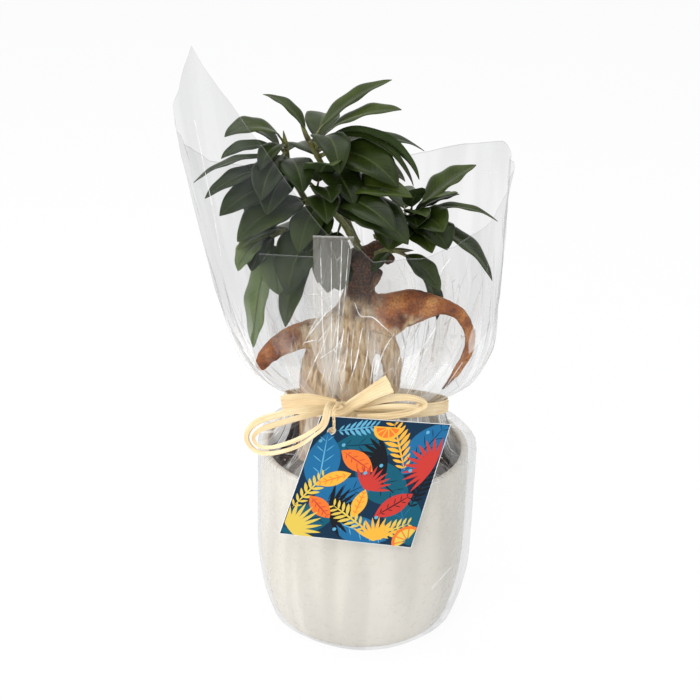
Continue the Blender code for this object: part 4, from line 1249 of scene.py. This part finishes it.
def card_point(u, v, out=0.0):
    """Point on the card, u to the right and v upwards from 0 to 1, moved out along its normal."""
    bottom, top = TAG_BOTTOM[0].lerp(TAG_BOTTOM[1], u), TAG_TOP[0].lerp(TAG_TOP[1], u)
    left, right = TAG_BOTTOM[0].lerp(TAG_TOP[0], v), TAG_BOTTOM[1].lerp(TAG_TOP[1], v)
    return bottom.lerp(top, v) + (right - left).cross(top - bottom).normalized() * out


def card_stock(name, colour, roughness):
    made, tree, shader = new_finish(name, colour, roughness)
    _, grain = mottle(tree, 40.0, 2400.0)
    dress(tree, shader, Specular_IOR_Level=0.12, Base_Color=mix(tree, grain, *shades(colour, 0.9, 1.08)))
    bump(tree, shader, grain, 0.15, 0.08 * MM)
    return made


def away(x, y, reach, turn):
    """The point so far away from another, in a direction in degrees."""
    return x + reach * math.cos(math.radians(turn)), y + reach * math.sin(math.radians(turn))


# Flat faces with a square rim, and a ring of points round the hole
sides = [i / TAG_STEPS for i in range(TAG_STEPS)]
outline = [(s, 0.0) for s in sides] + [(1.0, s) for s in sides]
outline += [(1 - s, 1.0) for s in sides] + [(0.0, 1 - s) for s in sides]
hole = [
    away(HOLE_U, HOLE_V, TAG_HOLE_RADIUS / TAG_SIDE, math.degrees(math.atan2(v - HOLE_V, u - HOLE_U)))
    for u, v in outline
]


def card_rings(shape, out, *shares):
    """Closed lines on the card, from its outline at share 1 to the edge of the hole at share 0."""
    return [[
        shape.verts.new(card_point(h[0] + (o[0] - h[0]) * share, h[1] + (o[1] - h[1]) * share, out))
        for o, h in zip(outline, hole)
    ] for share in shares]


CARD_SHARES = (0.9, 0.8, 0.7, 0.6, 0.5, 0.4, 0.3, 0.2, 0.1)
card_shape = bmesh.new()
front_rings = card_rings(card_shape, TAG_FRONT - 0.15 * MM, 1.0)
front_rings += card_rings(card_shape, TAG_FRONT, 0.985, *CARD_SHARES, 0.0)
back_rings = card_rings(card_shape, -TAG_FRONT, 1.0, 0.985, *CARD_SHARES, 0.0)
for rings in (front_rings, back_rings, (front_rings[0], back_rings[0]), (front_rings[-1], back_rings[-1])):
    bridge(card_shape, rings)
bmesh.ops.recalc_face_normals(card_shape, faces=card_shape.faces)
board = card_stock("card_white", (0.82, 0.82, 0.80), 0.55)
show("tag_board", card_shape, board, "printed_card", "tag_card", smooth=30)

# The print: cut-paper shapes in flat inks on a navy ground, each ink a hair above the one under it
INKS = {
    "navy": (0.006, 0.030, 0.066), "teal": (0.006, 0.105, 0.165), "blue": (0.015, 0.150, 0.330),
    "sky": (0.130, 0.420, 0.620), "orange": (0.860, 0.190, 0.030), "amber": (0.900, 0.460, 0.050),
    "yellow": (0.780, 0.560, 0.090), "red": (0.600, 0.045, 0.035), "black": (0.008, 0.010, 0.014),
}
INK_LIFT = 0.02 * MM
INK_STEP = 0.002 * MM
INK_REACH = 0.04
PRINT_MARGIN = 0.006


def arc(cx, cy, radius, start, end, count=28):
    return [away(cx, cy, radius, start + (end - start) * i / count) for i in range(count + 1)]


def pod(cx, cy, length, width, turn):
    """A pointed oval."""
    points = []
    for i in range(32):
        t = i / 16
        along = (t if t < 1 else 2 - t) - 0.5
        across = (1 if t < 1 else -1) * width * (1 - (2 * along) ** 2) / 2
        points.append(away(*away(cx, cy, length * along, turn), across, turn + 90))
    return points


def slice_of(cx, cy, radius, turn, skin, flesh):
    """A half slice of fruit: a rind and five wedges."""
    shapes = [(skin, arc(cx, cy, radius, turn, turn + 180))]
    for start in range(turn + 8, turn + 178, 34):
        wedge = arc(cx, cy, radius * 0.80, start, start + 28, 8)
        shapes.append((flesh, wedge + [away(cx, cy, radius * 0.12, start + 14)]))
    return shapes


def sprig(cx, cy, length, turn, ink, pairs=8):
    """A stalk with pointed leaflets on both sides."""
    shapes = [(ink, pod(cx, cy, length, 0.014, turn))]
    for k in range(pairs):
        t = (k + 0.5) / pairs - 0.5
        size = length * 0.30 * (1 - abs(t) * 0.9)
        for lean in (turn + 50, turn - 50):
            middle = away(*away(cx, cy, length * t, turn), size * 0.5, lean)
            shapes.append((ink, pod(*middle, size, size * 0.26, lean)))
    return shapes


def ribbed(cx, cy, length, width, turn, ink, rib):
    """A leaf with its rib and short slits, in two inks."""
    shapes = [(ink, pod(cx, cy, length, width, turn)), (rib, pod(cx, cy, length * 0.92, 0.010, turn))]
    for k in range(5):
        t = 0.34 * (k / 2 - 1)
        reach = width * 0.36 * (1 - abs(t))
        for lean in (turn + 48, turn - 48):
            middle = away(*away(cx, cy, length * t, turn), reach * 0.62, lean)
            shapes.append((rib, pod(*middle, reach, 0.007, lean)))
    return shapes


def fan(cx, cy, radius, turn, ink, spokes=11):
    """Pointed spokes spread from one corner."""
    leans = [turn + (k - (spokes - 1) / 2) * 15 for k in range(spokes)]
    return [(ink, pod(*away(cx, cy, radius / 2, lean), radius, radius * 0.13, lean)) for lean in leans]


def berry(cx, cy, ink):
    return [(ink, arc(cx, cy, 0.014, 0, 360))]


# Each cut shape, from the lowest: its kind, then its place, size, turn and inks
ARTWORK = (
    (ribbed, 0.44, 0.80, 0.56, 0.26, 8, "teal", "navy"),
    (ribbed, 0.86, 0.80, 0.50, 0.28, 62, "blue", "navy"),
    (ribbed, 0.13, 0.62, 0.52, 0.26, 98, "blue", "sky"),
    (ribbed, 0.62, 0.50, 0.60, 0.30, -32, "teal", "black"),
    (ribbed, 0.34, 0.36, 0.56, 0.28, 35, "blue", "navy"),
    (ribbed, 0.86, 0.24, 0.50, 0.28, 118, "teal", "blue"),
    (ribbed, 0.14, 0.14, 0.48, 0.26, 20, "teal", "navy"),
    (ribbed, 0.56, 0.10, 0.48, 0.22, -14, "blue", "sky"), (fan, 0.60, 0.70, 0.24, 200, "black"),
    (fan, 0.30, 0.22, 0.24, 20, "black"), (sprig, 0.66, 0.80, 0.42, 118, "amber", 9),
    (sprig, 0.10, 0.38, 0.34, 62, "yellow"), (sprig, 0.46, 0.20, 0.36, 150, "yellow"),
    (sprig, 0.92, 0.48, 0.34, 78, "black"), (sprig, 0.30, 0.92, 0.30, 12, "sky"),
    (sprig, 0.78, 0.12, 0.34, 28, "yellow"), (ribbed, 0.38, 0.66, 0.32, 0.15, -28, "orange", "red"),
    (ribbed, 0.25, 0.50, 0.26, 0.12, 205, "amber", "orange"),
    (ribbed, 0.76, 0.33, 0.32, 0.15, 42, "red", "black"),
    (ribbed, 0.22, 0.26, 0.26, 0.12, -40, "orange", "red"),
    (ribbed, 0.50, 0.32, 0.24, 0.11, 84, "amber", "orange"), (fan, 0.97, 0.66, 0.24, 165, "red"),
    (fan, 0.50, 0.44, 0.20, 62, "red", 9), (fan, 0.05, 0.05, 0.24, 45, "yellow"),
    (fan, 0.70, 0.03, 0.20, 95, "amber", 9), (slice_of, 0.53, 0.95, 0.11, 180, "amber", "orange"),
    (slice_of, 0.95, 0.06, 0.12, 60, "orange", "yellow"), (berry, 0.24, 0.78, "sky"),
    (berry, 0.47, 0.57, "sky"), (berry, 0.57, 0.64, "sky"), (berry, 0.80, 0.62, "sky"),
    (berry, 0.66, 0.22, "sky"), (berry, 0.38, 0.09, "sky"), (berry, 0.06, 0.80, "sky"),
    (berry, 0.84, 0.93, "sky"),
)
print_shape = bmesh.new()
level, last_ink = 0, "navy"
for ink, edge in [shape for draw, *values in ARTWORK for shape in draw(*values)]:
    level, last_ink = level + (0.15 if ink == last_ink else 1.0), ink
    trimmed = np.clip(edge, PRINT_MARGIN, 1 - PRINT_MARGIN)
    made = print_shape.faces.new([print_shape.verts.new((u, v, level)) for u, v in trimmed])
    made.material_index = list(INKS).index(ink)
bmesh.ops.triangulate(print_shape, faces=print_shape.faces)
while long_edges := [edge for edge in print_shape.edges if edge.calc_length() > INK_REACH]:
    bmesh.ops.subdivide_edges(print_shape, edges=long_edges, cuts=1)
    bmesh.ops.triangulate(print_shape, faces=print_shape.faces)
for vertex in print_shape.verts:
    u, v, level = vertex.co
    vertex.co = card_point(u, v, TAG_FRONT + INK_LIFT + INK_STEP * (1 + level))
rings = card_rings(print_shape, TAG_FRONT + INK_LIFT, 0.992, *CARD_SHARES)
rings.append([print_shape.verts.new(card_point(
    HOLE_U + (u - HOLE_U) * 1.15, HOLE_V + (v - HOLE_V) * 1.15, TAG_FRONT + INK_LIFT,
)) for u, v in hole])
bridge(print_shape, rings)
bmesh.ops.triangulate(print_shape, faces=print_shape.faces)
for face in print_shape.faces:
    if face.normal.y > 0:
        face.normal_flip()
inks = tuple(card_stock(f"ink_{name}", colour, 0.42) for name, colour in INKS.items())
show("tag_print", print_shape, inks, "printed_card", smooth=30)

# The string: three strands laid together
hole_centre = card_point(HOLE_U, HOLE_V)
axis = (card_point(HOLE_U, HOLE_V, 1 * MM) - hole_centre).normalized()
hang = card_point(HOLE_U, HOLE_V + 1.1 * MM / TAG_SIDE)
front, back = (hang + axis * 2.6 * MM) / MM, (hang - axis * 3.5 * MM) / MM
centre = [Vector(p) * MM for p in smooth_path((
    (-12.5, -53.4, 161), (-14.5, -62, 167), (-17.5, -72, 168.5), (front.x + 0.4, front.y - 0.8, front.z + 4),
    tuple(front), tuple(back), (-16.5, -61, 156), (-14.5, -54.2, 155),
), 8)]
string_shape = bmesh.new()
for k in range(3):
    rows = []
    for i, (point, tangent, normal) in enumerate(path_frames(centre)):
        a = 0.55 * i + math.tau * k / 3
        outward = normal * math.cos(a) + tangent.cross(normal) * math.sin(a)
        rows.append((point + outward * 0.36 * MM, 0.75 * MM, tangent.cross(outward), -0.15))
    strand(string_shape, rows)
show_strands("tag_tie", string_shape, "tag_string")
